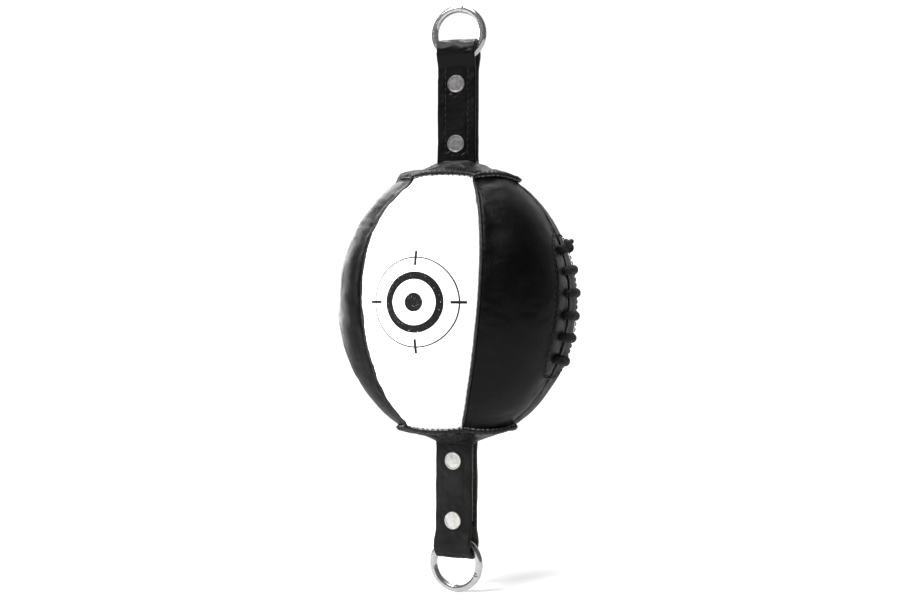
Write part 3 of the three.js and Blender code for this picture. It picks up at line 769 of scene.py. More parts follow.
PANELS = {"front": 0, "front_right": 60, "rear_right": 120, "rear": 180, "rear_left": 240, "front_left": 300}
SEAM_ROLL = 1.5 * MM  # radius of a panel's edge as it turns into a seam
SEAM_HALF_GAP = 0.75 * MM
SLIT_HALF_GAP = 1.5 * MM
HALF_COLUMNS = 40
PANEL_ROWS = 190
TURN_START = 2.2 * MM  # before the rim, where a panel starts to turn into the sewn edge
TURN_END = 0.3  # share of the sewn edge's length


def panel_columns():
    """For each column: its side, its share of the way to the panel's middle, and two more numbers.

    These are how far it has come round the rolled edge, along the surface and in depth.
    """
    turn = np.linspace(0, np.pi / 2, 7)
    near = np.append([0.0], SEAM_ROLL * (1 - np.cos(turn)))
    depth = np.append([SEAM_ROLL + 2.5 * MM], SEAM_ROLL * (1 - np.sin(turn)))
    share = np.concatenate([np.zeros(len(near)), np.arange(1, HALF_COLUMNS + 1) / HALF_COLUMNS])
    near = np.concatenate([near, np.full(HALF_COLUMNS, near[-1])])
    depth = np.concatenate([depth, np.zeros(HALF_COLUMNS)])
    side = np.concatenate([np.full(len(share), -1.0), np.full(len(share) - 1, 1.0)])
    return side, *(np.concatenate([column, column[-2::-1]]) for column in (share, near, depth))


def slit_share(height):
    """1 beside the slit, and 0 above and below it."""
    return 1 - smooth_step(SLIT_HALF - 2 * MM, SLIT_HALF + 1 * MM, np.abs(height - SLIT_MIDDLE))


def facing_reach(offset, height):
    """1 on the outline of the facing that is sewn under the slit, less inside it."""
    along = np.abs(height - SLIT_MIDDLE) / FACING_HALF_LENGTH
    across = np.abs(offset / FACING_HALF_WIDTH)
    return (across**FACING_ROUNDNESS + along**FACING_END_SQUARENESS) ** (1 / FACING_ROUNDNESS)


def surface_lift(angle, latitude, up):
    """How far a panel's surface stands above the plain ball."""
    height = BALL_HALF_HEIGHT * np.sin(latitude)
    spots = ball_point(angle, latitude)
    from_seam = np.radians(seam_offset(angle)) * radius_at(angle, latitude)
    stitch = np.cos(2 * np.pi * height / (5.2 * MM) + angle)
    pucker = 0.13 * stitch * bell(from_seam, 3.0 * MM)
    pucker = pucker + 0.22 * ripples(spots, 11 * MM, 8) * bell(from_seam, 7 * MM)
    valley = -0.9 * bell(from_seam, 4.5 * MM)
    soft = 0.32 * ripples(spots, 46 * MM, 3) + 0.10 * ripples(spots, 17 * MM, 4)
    soft = soft * smooth_step(0, 12 * MM, from_seam)
    offset = np.radians(angle - LACED_SEAM) * radius_at(angle, latitude)
    reach = facing_reach(offset, height)
    facing = 0.3 * (1 - smooth_step(0.93, 0.99, reach)) - 0.55 * bell(reach - FACING_STITCH_REACH, 0.022)
    bars = (height - LOWEST_BAR) / BAR_SPACING
    in_bars = smooth_step(-0.4, 0, bars) * (1 - smooth_step(LACE_BARS - 1, LACE_BARS - 0.6, bars))
    at_bar = (0.5 + 0.5 * np.cos(2 * np.pi * bars)) * in_bars
    tug = -0.9 * bell(np.abs(offset) - EYELET_OFFSET, 5 * MM) * at_bar
    facing = (facing + tug) * (np.abs(angle - LACED_SEAM) < PANEL_ANGLE)
    settled = 1 - smooth_step(0.965, 1.0, np.abs(up))
    return ((pucker + valley + soft + facing) * MM + swell_at(angle, up)) * settled


def panel_layer(middle, reach):
    """The outer surface of a panel, from the tip of its lower sewn edge to the tip of its upper one.

    reach is the share of the sewn edge's length that the panel runs along.
    """
    side, share, near, roll = panel_columns()
    up = np.linspace(-1, 1, PANEL_ROWS)[:, None]
    evenly = middle + side * (PANEL_ANGLE / 2) * (1 - share)
    latitude = up * below_rim(evenly, TURN_START)
    seam = middle + side * PANEL_ANGLE / 2
    radius = radius_at(seam, latitude)
    laced = (np.abs(seam - LACED_SEAM) < 1) * slit_share(BALL_HALF_HEIGHT * np.sin(latitude))
    gap = SEAM_HALF_GAP + (SLIT_HALF_GAP - SEAM_HALF_GAP) * laced
    half_width = radius * math.radians(PANEL_ANGLE / 2)
    distance = gap + near + share * (half_width - gap - SEAM_ROLL)
    angle = middle + side * (PANEL_ANGLE / 2 - np.degrees(distance / radius))
    flat = 1 - smooth_step(0.93, 1.0, np.abs(up))
    depth = roll * flat - surface_lift(angle, latitude, np.broadcast_to(up, latitude.shape))
    body = ball_point(angle, latitude, depth)
    tips = [sewn_tip(angle[row], end, reach) for row, end in ((0, -1), (-1, 1))]
    return np.concatenate([tips[0][::-1], body, tips[1]])


def sewn_tip(angle, end, reach):
    """Rows of a panel's outer surface past its last row, turning out of the ball along the sewn edge."""
    latitude = rim_latitude(angle)
    level, rise = outward_at(latitude)
    radius, height = radius_at(angle, latitude), BALL_HALF_HEIGHT * np.sin(latitude)
    start = np.stack([radius + TURN_START * rise, height - TURN_START * level])
    corner = np.stack([radius, height])
    far = np.stack(edge_point(angle, TURN_END, 0.0, end))
    rows = [(1 - t) ** 2 * start + 2 * t * (1 - t) * corner + t * t * far for t in np.linspace(0.2, 1, 5)]
    rows += [np.stack(edge_point(angle, along, 0.0, end)) for along in np.linspace(TURN_END, reach, 6)[1:]]
    return np.stack([turned(angle, radius, end * height) for radius, height in rows])


def beside_slit(offset, height, depth):
    latitude = np.arcsin(height / BALL_HALF_HEIGHT)
    angle = LACED_SEAM + np.degrees(offset / radius_at(LACED_SEAM, latitude))
    return ball_point(angle, latitude, depth)


def punched(layers, hole_centres, radius):
    """Opens round holes: drops the cells inside and moves the corners round a hole onto its circle."""
    outer = layers[0]
    kept = np.ones((outer.shape[0] - 1, outer.shape[1] - 1), bool)
    for centre in hole_centres:
        cell = (outer[:-1, :-1] + outer[1:, 1:] + outer[:-1, 1:] + outer[1:, :-1]) / 4
        inside = np.linalg.norm(cell - centre, axis=-1) < radius
        if not inside.any():
            continue
        kept &= ~inside
        corners = np.zeros(outer.shape[:2], bool)
        for shifted in (corners[:-1, :-1], corners[1:, :-1], corners[:-1, 1:], corners[1:, 1:]):
            shifted |= inside
        away = outer - centre
        distance = np.linalg.norm(away, axis=-1, keepdims=True)
        step = away * (radius / np.maximum(distance, 1e-9) - 1) * corners[..., None]
        for layer in layers:
            layer += step
    return kept


def panel(place, middle):
    white = place == "front"
    outer = panel_layer(middle, PANEL_SHARES["white" if white else "black"])
    inner = outer - LEATHER * normals_of(outer)
    kept = None
    if middle in (60, 120):
        side = -1 if middle == 60 else 1
        heights = LOWEST_BAR + BAR_SPACING * np.arange(LACE_BARS)
        centres = [beside_slit(side * EYELET_OFFSET, height, 0.3 * MM) for height in heights]
        kept = punched([outer, inner], centres, EYELET_RADIUS)
    materials = [WHITE, FLESH, WHITE_EDGE] if white else [BLACK, FLESH, RAW_EDGE]
    made = make_sheet(f"panel_{place}_leather", outer, inner, materials, kept=kept)
    settle(made, "bag", "white_leather" if white else "black_leather", f"panel_{place}")


def settle(piece, body, slot, *nodes):
    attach(piece, body)
    finish_piece(piece, slot, *nodes)


def finish_piece(piece, slot, *nodes):
    if nodes:
        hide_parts(*nodes)


for place, middle in PANELS.items():
    panel(place, middle)


# ---- Piping in the seams ----

WELTS = {"front_right": 30, "rear_right": 150, "rear_left": 210, "left": 270, "front_left": 330}
WELT_RADIUS = 1.0 * MM
WELT_STITCH = 5.2 * MM


def welt(place, seam, low, high):
    latitude = np.linspace(low, high, 240)
    path = ball_point(np.full(latitude.shape, float(seam)), latitude, 1.4 * MM)
    outward = ball_point(seam, latitude) - path
    height = path[:, 2]
    pinch = 1 + 0.07 * np.cos(2 * np.pi * height / WELT_STITCH) + 0.06 * ripples(path, 13 * MM, 9)
    from_end = np.minimum(latitude - low, high - latitude)
    size = WELT_RADIUS * pinch * (0.4 + 0.6 * smooth_step(0, 0.02, from_end))
    points, faces = tube(path, outward, circle(12)[None] * size[:, None, None])
    made = make_object(f"welt_{place}_piping", points, faces, [WELT_BLACK])
    settle(made, "bag", "welt_leather", f"welt_{place}")


def all_welts():
    for place, seam in WELTS.items():
        end = float(below_rim(np.array(float(seam)), 0.5 * MM))
        welt(place, seam, -end, end)
    end = float(below_rim(np.array(float(LACED_SEAM)), 0.5 * MM))
    slit = [math.asin((SLIT_MIDDLE + way * SLIT_HALF) / BALL_HALF_HEIGHT) for way in (-1, 1)]
    welt("laced_lower", LACED_SEAM, -end, slit[0])
    welt("laced_upper", LACED_SEAM, slit[1], end)


all_welts()

# ---- The ends: everything below is drawn for the top, with X along the strap's width, then mirrored ----

ENDS = {"top": 1, "bottom": -1}
EDGE_TOP = LEATHER + 0.1 * MM + CAP_EDGE  # of the sewn edge, above the underside of the panel's part
CAP_COLUMNS = 340
CAP_SLOT = (14.7 * MM, 6.5 * MM)  # half width and half depth of the slot that the strap comes out of
SLOT_SQUARENESS = 5
COLLAR_HEIGHT = FLEX_HEIGHT - 2.4 * MM


def at_end(points, end):
    turn = math.radians(ENDS[end] * END_TWIST)
    x, y, z = np.moveaxis(points, -1, 0)
    across = x * math.cos(turn) - y * math.sin(turn)
    out = x * math.sin(turn) + y * math.cos(turn)
    return np.stack([across, out, ENDS[end] * z], axis=-1)


def bend(piece):
    """Bakes the piece's placement into its points."""
    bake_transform(piece)


def around(angle, radius, height):
    turn = np.radians(angle)
    height = np.broadcast_to(height, radius.shape)
    return np.stack([radius * np.sin(turn), -radius * np.cos(turn), height], axis=-1)


def cap_profile(angle, end):
    """Radius and height of the cap's outer surface, from the tip of its sewn edge to its lip at the strap."""
    along = np.array([1.06, 1.0, 0.84, 0.6, 0.35, 0.1])
    curl = np.array([1.3, 0.75, 0.15, 0.0, 0.1, 0.4]) * MM
    rows = [np.stack(edge_point(angle, *spot, ENDS[end])) for spot in zip(along, EDGE_TOP - curl)]
    valley = np.stack(edge_point(angle, -0.35, EDGE_TOP - 1.4 * MM, ENDS[end]))
    turn = np.radians(angle)
    wide, deep = np.sin(turn) / CAP_SLOT[0], np.cos(turn) / CAP_SLOT[1]
    slot = (np.abs(wide) ** SLOT_SQUARENESS + np.abs(deep) ** SLOT_SQUARENESS) ** (-1 / SLOT_SQUARENESS)
    hollow = 1.2 + 0.5 * np.cos(turn) ** 2
    for share in np.linspace(0, 1, 14):
        height = valley[1] + (COLLAR_HEIGHT - valley[1]) * share**hollow
        rows.append(np.stack([valley[0] + (slot - valley[0]) * share, height]))
    rows.append(np.stack([slot - 0.15 * MM, np.full(angle.shape, COLLAR_HEIGHT + 1.3 * MM)]))
    return rounded(np.stack(rows), 2)


def cap_relief(points, angle, row_share, end):
    """Folds and puckers of the cap, as heights above its plain surface."""
    x, y = points[..., 0], points[..., 1]
    before = np.abs(y) - 6.5 * MM - x**2 / (34 * MM)
    folds = 1.4 * np.sin(2 * np.pi * before / (5.4 * MM)) * bell(before - 6 * MM, 6.5 * MM)
    folds = folds * bell(x, 15 * MM) * smooth_step(0, 2 * MM, np.abs(y) - 6.5 * MM)
    pull = np.cos(EDGE_STITCHES * np.radians(angle))
    pucker = -0.28 * pull * bell(row_share - 0.27, 0.09)
    gathers = np.cos(np.radians(angle) * 22 + 2 * ripples(points, 30 * MM, 21))
    drawn = 0.25 * gathers * bell(row_share - 0.42, 0.12)
    soft = 0.45 * ripples(points, 24 * MM, 22 + ENDS[end]) + 0.16 * ripples(points, 8 * MM, 25 + ENDS[end])
    return (folds + pucker + drawn + soft * smooth_step(0.2, 0.4, row_share)) * MM


def cap(end):
    angle = np.linspace(0, 360, CAP_COLUMNS, endpoint=False)
    rows = cap_profile(angle, end)
    outer = around(angle[None], rows[:, 0], rows[:, 1])
    row_share = np.linspace(0, 1, len(outer))[:, None]
    still = smooth_step(0, 0.06, 1 - row_share)
    relief = cap_relief(outer, angle[None], row_share, end) * still
    outer = outer + relief[..., None] * normals_of(outer, wrapped=True)
    thickness = LEATHER + (CAP_EDGE - LEATHER) * (1 - smooth_step(0.18, 0.3, row_share))
    inner = outer - thickness[..., None] * normals_of(outer, wrapped=True)
    layers = [at_end(layer, end) for layer in (outer, inner)]
    made = make_sheet(f"{end}_cap_leather", *layers, [CAP_BLACK, FLESH, DARK_EDGE], wrapped=True)
    finish_piece(made, "black_leather", f"{end}_cap")
    bend(made)


THREAD_RADIUS = 0.3 * MM


def overcasting(end):
    """Thread looped over the sewn edge, one loop for each pull in it."""
    along = np.array([0.28, 0.36, 0.65, 0.88, 1.00, 1.03, 0.96, 0.7, 0.45])
    above = np.array([-1.0, -0.05, 0.03, -0.25, -0.9, -1.9, -2.9, -2.95, -2.0]) * MM + EDGE_TOP
    parts = []
    for stitch in range(EDGE_STITCHES):
        slant = 0.9 * np.sin(stitch * 2.4) * 0.5 + np.linspace(-0.8, 0.8, len(along))
        angle = 360 * stitch / EDGE_STITCHES + slant
        radius, height = edge_point(angle, along, above, ENDS[end])
        path = respaced(rounded(at_end(around(angle, radius, height), end), 2), 0.35 * MM)
        east = np.cross([0, 0, 1], path[0]) / np.linalg.norm(path[0])
        sections = np.tile(circle(7) * THREAD_RADIUS, (len(path), 1, 1))
        parts.append(tube(path, np.tile(east, (len(path), 1)), sections))
    points, faces = joined(parts)
    made = make_object(f"{end}_cap_overcasting", points, faces, [THREAD])
    settle(made, "bag", "black_leather")


# ---- Straps ----


def leg_half(end):
    """The strap's outer outline as (Y, Z), from its front foot to the top of the eye."""
    eye = EYE_HEIGHTS[end]
    half = -STRAP_HALF
    outer = EYE_RADIUS + STRAP_LEATHER
    foot = np.array([[-21, 90.4], [-10, 90.6], [-6.3, 93], [-6.05, 98], [-6, 112]]) * MM
    flare = eye - 14 * MM
    wrap = math.radians(20)
    side = np.array([-outer * math.cos(wrap), eye - outer * math.sin(wrap)])
    before = side - [5 * MM * math.sin(-wrap), 5 * MM * math.cos(wrap)]
    controls = np.array([[half, flare], [half, flare + 4.5 * MM], before, side])
    t = np.linspace(0, 1, 12)[:, None]
    blend = [(1 - t) ** 3, 3 * t * (1 - t) ** 2, 3 * t * t * (1 - t), t**3]
    out = sum(weight * control for weight, control in zip(blend, controls))
    turn = np.linspace(math.pi + wrap, math.pi / 2, 20)[1:, None]
    over = np.hstack([outer * np.cos(turn), eye + outer * np.sin(turn)])
    return np.concatenate([rounded(foot, 3), out, over])


STRAP_SPACING = 1.1 * MM  # of the rows along a strap


def strap_line(end):
    """The strap's whole outer outline as (Y, Z), up its front, over the eye and down its back."""
    half = leg_half(end)
    whole = np.concatenate([half, half[-2::-1] * [-1, 1]])
    path = respaced(np.hstack([whole, np.zeros((len(whole), 1))]), STRAP_SPACING)
    return path[:, :2]


STITCH_ROW = 8.6 * MM  # from the strap's middle


def strap_relief(points, x, end):
    """Dents, creases and grooves of the strap, as heights above its plain surface."""
    z = points[..., 2]
    top = EYE_HEIGHTS[end]
    seed = 40 + ENDS[end]
    low, high = RIVET_HEIGHTS["inner"], RIVET_HEIGHTS["outer"]
    relief = 0.2 * ripples(points, 15 * MM, seed) + 0.1 * ripples(points, 5.5 * MM, seed + 2)
    for height in (low, high):
        away = np.hypot(x, z - height)
        relief += 0.55 * bell(away - 10.5 * MM, 3.2 * MM) - 0.25 * bell(away, 7.5 * MM)
        crescent = bell(away - 8.4 * MM, 1.3 * MM) * smooth_step(0, 6 * MM, height - z)
        relief += 0.5 * crescent * np.sin((x - z) / (1.1 * MM))
    between = smooth_step(low + 9 * MM, low + 18 * MM, z) * smooth_step(high - 9 * MM, high - 18 * MM, z)
    relief += 0.4 * between
    rungs = np.sin(2 * np.pi * (z + 0.12 * x) / (2.5 * MM) + 0.8 * ripples(points, 9 * MM, seed + 4))
    on_rungs = bell(x - 7 * MM, 4.5 * MM) * smooth_step(low + 10 * MM, low + 16 * MM, z)
    relief += 0.26 * rungs * on_rungs * smooth_step(high - 8 * MM, high - 16 * MM, z)
    base = np.sin(2 * np.pi * (z - x**2 / (90 * MM)) / (2.7 * MM))
    relief += 0.26 * base * smooth_step(102 * MM, 104 * MM, z) * smooth_step(112 * MM, 108 * MM, z)
    sewn = smooth_step(110 * MM, 111 * MM, z) * smooth_step(top - 12 * MM, top - 13 * MM, z)
    relief -= 0.38 * bell(np.abs(x) - STITCH_ROW, 0.75 * MM) * sewn
    over = smooth_step(top - 4 * MM, top + 2 * MM, z)
    wander = 1.5 * ripples(points, 10 * MM, seed + 6)
    wrinkle = np.sin(2 * np.pi * (points[..., 1] + 0.3 * z) / (3.1 * MM) + wander)
    return (relief + 0.3 * wrinkle * over) * MM


def strap_grid(end):
    """The outer surface of a strap, and its normals. Rows follow strap_line()."""
    line = strap_line(end)
    share = np.linspace(-1, 1, 47)
    x = STRAP_WIDTH / 2 * np.sign(share) * (1 - (1 - np.abs(share)) ** 1.5)
    flat = np.stack(np.broadcast_arrays(x, line[:, :1], line[:, 1:]), axis=-1)
    x = flat[..., 0]
    rim = 0.55 * MM * np.clip(1 - (STRAP_WIDTH / 2 - np.abs(x)) / (0.9 * MM), 0, 1) ** 2
    normals = normals_of(flat)
    outer = flat + (strap_relief(flat, x, end) - rim)[..., None] * normals
    foot_flare = 0.05 * bell(flat[..., 2] - BEND_START, 7 * MM)
    outer[..., 0] *= 1 + 0.010 * ripples(flat, 26 * MM, 50 + ENDS[end]) + foot_flare
    return outer, normals


def strap(end):
    outer, normals = strap_grid(end)
    inner = outer - (STRAP_LEATHER - 0.1 * MM) * normals
    squeezed = np.clip(STRAP_WIDTH / 2 - np.abs(outer[..., 0]), 0, 0.8 * MM) / (0.8 * MM)
    inner += (0.35 * MM * (1 - squeezed) ** 2)[..., None] * normals
    layers = [at_end(layer, end) for layer in (outer, inner)]
    materials = [STRAP_BLACK[end], FLESH, DARK_EDGE]
    made = make_sheet(f"{end}_strap_leather", *layers, materials)
    finish_piece(made, "black_leather", f"{end}_strap", f"{end}_strap_tail")
    bend(made)
    sew_strap(end, outer, normals)


def sew_strap(end, outer, normals):
    """Two rows of stitches on each face of a strap."""
    parts = []
    for is_face in (outer[:, 0, 1] < 0, outer[:, 0, 1] > 0):
        height = outer[:, 0, 2]
        rows = is_face & (height > 111 * MM) & (height < EYE_HEIGHTS[end] - 13 * MM)
        for side in (-1, 1):
            column = np.argmin(np.abs(outer[0, :, 0] - side * STITCH_ROW))
            path, lift = outer[rows, column], normals[rows, column]
            parts.append(stitches(at_end(path, end), at_end(lift, end), 4.6 * MM, 3.5 * MM, THREAD_RADIUS))
    points, faces = joined(parts)
    made = make_object(f"{end}_strap_stitching", points, faces, [THREAD])
    finish_piece(made, "black_leather")
    bend(made)


def flat_section(width, thickness, corners=56, squareness=9):
    """Outline of a flat strip with rounded corners, as (across, up)."""
    turn = full_turn(corners)
    level, rise = np.cos(turn), np.sin(turn)
    reach = (np.abs(level) ** squareness + np.abs(rise) ** squareness) ** (-1 / squareness)
    return np.stack([level * reach * width / 2, rise * reach * thickness / 2], axis=-1)


WEBBING = 1.6 * MM
WEBBING_HALF = STRAP_HALF - STRAP_LEATHER - 0.1 * MM - WEBBING / 2
PACKING_FOOT = BEND_START - 3 * MM


def webbing(end):
    """Webbing doubled over the filler, as one folded strip."""
    fold = EYE_HEIGHTS[end] - 16 * MM
    rise = np.linspace(PACKING_FOOT, fold, 60)
    turn = np.linspace(np.pi, 0, 18)
    y = np.concatenate([np.full(59, -WEBBING_HALF), WEBBING_HALF * np.cos(turn), np.full(59, WEBBING_HALF)])
    z = np.concatenate([rise[:-1], fold + WEBBING_HALF * np.sin(turn), rise[-2::-1]])
    path = np.stack([np.zeros_like(y), y, z], axis=-1)
    along, _, _ = frames_along(path, np.tile([1.0, 0, 0], (len(path), 1)))
    outward = np.cross([1.0, 0, 0], along)
    ribs = 1 + 0.025 * np.cos(2 * np.pi * np.arange(len(path)) / 2)
    section = flat_section(STRAP_WIDTH - 1.6 * MM, WEBBING)
    sections = section[None] * np.stack([ribs, np.ones_like(ribs)], axis=-1)[:, None]
    points, faces = tube(path, outward, sections)
    made = make_object(f"{end}_strap_webbing_folded", at_end(points, end), faces, [WEBBING_CLOTH])
    finish_piece(made, "webbing", f"{end}_strap_webbing")
    bend(made)


def filler(end):
    """A strip of undyed leather inside the webbing."""
    z = np.linspace(PACKING_FOOT, EYE_HEIGHTS[end] - 17.5 * MM, 80)
    path = np.stack([np.zeros_like(z), np.zeros_like(z), z], axis=-1)
    section = flat_section(STRAP_WIDTH - 2.6 * MM, 2 * WEBBING_HALF - WEBBING - 0.1 * MM)
    rough = 1 + 0.006 * ripples(path, 4 * MM, 61)[:, None] * np.ones(len(section))[None]
    points, faces = tube(path, np.tile([0, 1.0, 0], (len(path), 1)), section[None] * rough[..., None])
    made = make_object(f"{end}_strap_filler_strip", at_end(points, end), faces, [RAW_EDGE])
    finish_piece(made, "raw_leather", f"{end}_strap_filler")
    bend(made)


# ---- Rivets, rings and discs ----


RIVET_SEAT = STRAP_HALF - 0.1 * MM  # from the strap's middle
POST_RADIUS = 1.9 * MM


def rivet_profile(has_post):
    """Radius and height of one half of a rivet, the height measured outwards from the leather."""
    foot = 1 * MM - 2 * RIVET_SEAT
    post = [(0, foot), (POST_RADIUS, foot), (POST_RADIUS, -0.2 * MM)] if has_post else [(0, 0)]
    rim = [(6.2, 0.0), (6.6, 0.25), (6.65, 0.9), (6.45, 1.5), (6.0, 1.75), (5.6, 1.6), (5.3, 1.3)]
    dome = [(4.9, 1.22), (3.6, 1.36), (2.2, 1.47), (1.0, 1.52), (0, 1.53)]
    corners = np.array(post + [(radius * MM, height * MM) for radius, height in rim + dome])
    smooth = rounded(corners[len(post) - 1:], 2)
    return np.concatenate([corners[: len(post) - 1], smooth])


def rivet(end, place):
    """The head with its post at the front of a strap, and the cap at its back."""
    for facing, part in ((-1, ""), (1, "_cap")):
        points, faces = lathe(rivet_profile(has_post=facing < 0), 72)
        points[:, 2] += 0.03 * MM * ripples(points, 5 * MM, 70 + facing) * (points[:, 2] > 0.8 * MM)
        across, up, out = points.T
        spots = np.stack([-facing * across, facing * (RIVET_SEAT + out), up + RIVET_HEIGHTS[place]], axis=-1)
        name = f"{end}_{place}_rivet{part}"
        made = make_object(f"{name}_turned", at_end(spots, end), faces, [NICKEL[end]], crease=60)
        settle(made, f"{end}_strap", "rivet_nickel", name)


WELD_ANGLES = {"top": 80, "bottom": 25}  # degrees round the ring


def ring(end):
    """Steel wire bent round and butt welded."""
    low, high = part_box(f"{end}_ring")
    radius = (high.z - low.z) / 2 - RING_WIRE
    turn = full_turn(220)
    out = np.stack([np.cos(turn), np.zeros_like(turn), np.sin(turn)], axis=-1)
    path = out * radius + [0, 0, RING_HEIGHTS[end]]
    from_weld = np.degrees(np.abs((turn - math.radians(WELD_ANGLES[end]) + np.pi) % (2 * np.pi) - np.pi))
    bead = 0.10 * bell(from_weld - 2.4, 1.8) - 0.10 * bell(from_weld, 0.9)
    uneven = 1 + 0.006 * ripples(path, 9 * MM, 80) + bead
    section = circle(32)
    side = np.array([0, 1.0, 0])
    around_wire = section[None, :, :1] * out[:, None] + section[None, :, 1:] * side
    points = path[:, None] + RING_WIRE * uneven[:, None, None] * around_wire
    ids = np.arange(points.shape[0] * points.shape[1]).reshape(points.shape[:2])
    ids = np.hstack([ids, ids[:, :1]])
    faces = grid_faces(np.vstack([ids, ids[:1]])).tolist()
    made = make_object(f"{end}_ring_welded", at_end(points.reshape(-1, 3), end), faces, [CHROME])
    settle(made, f"{end}_ring", "ring_steel", f"{end}_ring")


def backing_disc(end):
    profile = [(0, -1), (35.2, -1), (36, -0.6), (36, 0.6), (35.2, 1), (0, 1)]
    points, faces = lathe(np.array(profile) * MM, 90)
    points[:, 2] += 0.3 * MM * ripples(points, 40 * MM, 90) + 85.5 * MM
    made = make_object(f"{end}_backing_disc_cut", at_end(points, end), faces, [FLESH])
    settle(made, "bag", "raw_leather", f"{end}_backing_disc")


def make_end(end):
    cap(end)
    overcasting(end)
    strap(end)
    webbing(end)
    filler(end)
    for place in RIVET_HEIGHTS:
        rivet(end, place)
    ring(end)
    backing_disc(end)


for end in ENDS:
    make_end(end)

# ---- Lacing ----

LACE_DEPTH = 6.5 * MM  # of its runs inside, below the ball's plain surface
LACE_LIFT = 4.2 * MM  # of its bars outside, above it
BRAID_PITCH = 7.5 * MM
CORD_WIDTH = 4.4 * MM  # and more where it is a bar outside
BAR_HEIGHTS = LOWEST_BAR + BAR_SPACING * np.arange(LACE_BARS)


def braid(path, side, side_width, other_width):
    """A braided cord along a path, with its width towards a side and its width square to that."""
    along = np.concatenate([[0], np.cumsum(np.linalg.norm(np.diff(path, axis=0), axis=1))])
    turn = full_turn(36)
    lead = 2 * np.pi * along[:, None] / BRAID_PITCH
    strands = np.maximum(np.cos(6 * turn + 3 * lead), np.cos(6 * turn - 3 * lead))
    relief = 0.93 + 0.09 * strands
    outline = np.stack([np.cos(turn) * relief, np.sin(turn) * relief], axis=-1)
    size = np.stack([other_width, side_width], axis=-1)[:, None] / 2
    return tube(path, side, outline * size)


def lace_path():
    """Centre line of the lace and, as a fourth column, 1 where it is a bar outside and 0 inside."""
    spots = [(-EYELET_OFFSET, BAR_HEIGHTS[0] - 10 * MM, LACE_DEPTH + 1 * MM, 0)]
    for bar, height in enumerate(BAR_HEIGHTS):
        sag = 0.5 * MM * math.sin(2.1 * bar)
        for side in (-1, 1):
            hole = side * EYELET_OFFSET
            inside = (hole, height, LACE_DEPTH, 0)
            through = (hole, height, 1.5 * MM, 0)
            outside = (hole * 0.86, height + 0.3 * side * sag, -LACE_LIFT * 0.75, 1)
            spots += [inside, through, outside] if side < 0 else [outside, through, inside]
            if side < 0:
                spots.append((0, height + sag, -LACE_LIFT - 0.5 * MM, 1))
    spots.append((EYELET_OFFSET, BAR_HEIGHTS[-1] + 10 * MM, LACE_DEPTH + 1 * MM, 0))
    offset, height, depth, is_bar = np.array(spots).T
    return np.column_stack([beside_slit(offset, height, depth), is_bar])


def lace():
    path = respaced(rounded(lace_path(), 3), 0.45 * MM)
    middle, is_bar = path[:, :3], path[:, 3]
    is_level = bell(np.abs(np.gradient(middle[:, 2])) / (0.45 * MM), 0.5)[:, None]
    upward, rearward = np.array([[0, 0, 1.0], [0, 1.0, 0]])
    side = upward * is_level + rearward * (1 - is_level)
    uneven = 1 + 0.05 * ripples(middle, 9 * MM, 100)
    across = (CORD_WIDTH + 2.3 * MM * is_bar) * uneven
    thickness = (CORD_WIDTH + 1.9 * MM * is_bar) * uneven
    parts = [braid(middle, side, across, thickness), knot()]
    points, faces = joined(parts)
    made = make_object("lace_braided", points, faces, [LACE], crease=70)
    settle(made, "bag", "lace_cord", "lace")


def knot():
    """The knot that ends the lace, a trefoil pulled tight beside the top bar."""
    turn = np.linspace(0, 2 * np.pi, 121)[:-1]
    middle = beside_slit(-3.0 * MM, BAR_HEIGHTS[-1] + 1.0 * MM, -LACE_LIFT - 1.6 * MM)
    across = np.sin(turn) + 2 * np.sin(2 * turn)
    up = np.cos(turn) - 2 * np.cos(2 * turn)
    out = -np.sin(3 * turn)
    path = middle + np.stack([out * 1.5, across * 1.35, up * 1.25], axis=-1) * MM
    hint = np.stack([np.ones_like(turn), 0.3 * np.sin(turn), 0.3 * np.cos(turn)], axis=-1)
    sections = np.tile(circle(14) * 1.9 * MM, (len(path), 1, 1))
    return tube(path, hint, sections, closed=True)


def facing(place, side):
    """Reinforcing leather under one side of the slit."""
    along = np.linspace(-0.985, 0.985, 150)[:, None]
    across = np.linspace(0, 1, 46)[None]
    outline = (1 - np.abs(along) ** FACING_END_SQUARENESS) ** (1 / FACING_ROUNDNESS)
    offset = SLIT_HALF_GAP + across * (FACING_HALF_WIDTH * outline - SLIT_HALF_GAP)
    offset = side * offset if side > 0 else (side * offset)[:, ::-1]
    height = np.broadcast_to(SLIT_MIDDLE + FACING_HALF_LENGTH * along, offset.shape)
    layers = [beside_slit(offset, height, depth * MM) for depth in (2.7, 3.9)]
    centres = [beside_slit(side * EYELET_OFFSET, height, 2.7 * MM) for height in BAR_HEIGHTS]
    kept = punched(layers, centres, EYELET_RADIUS)
    made = make_sheet(f"facing_{place}_cut", *layers, [BLACK, FLESH, DARK_EDGE], kept=kept)
    settle(made, "bag", "black_leather", f"facing_{place}")


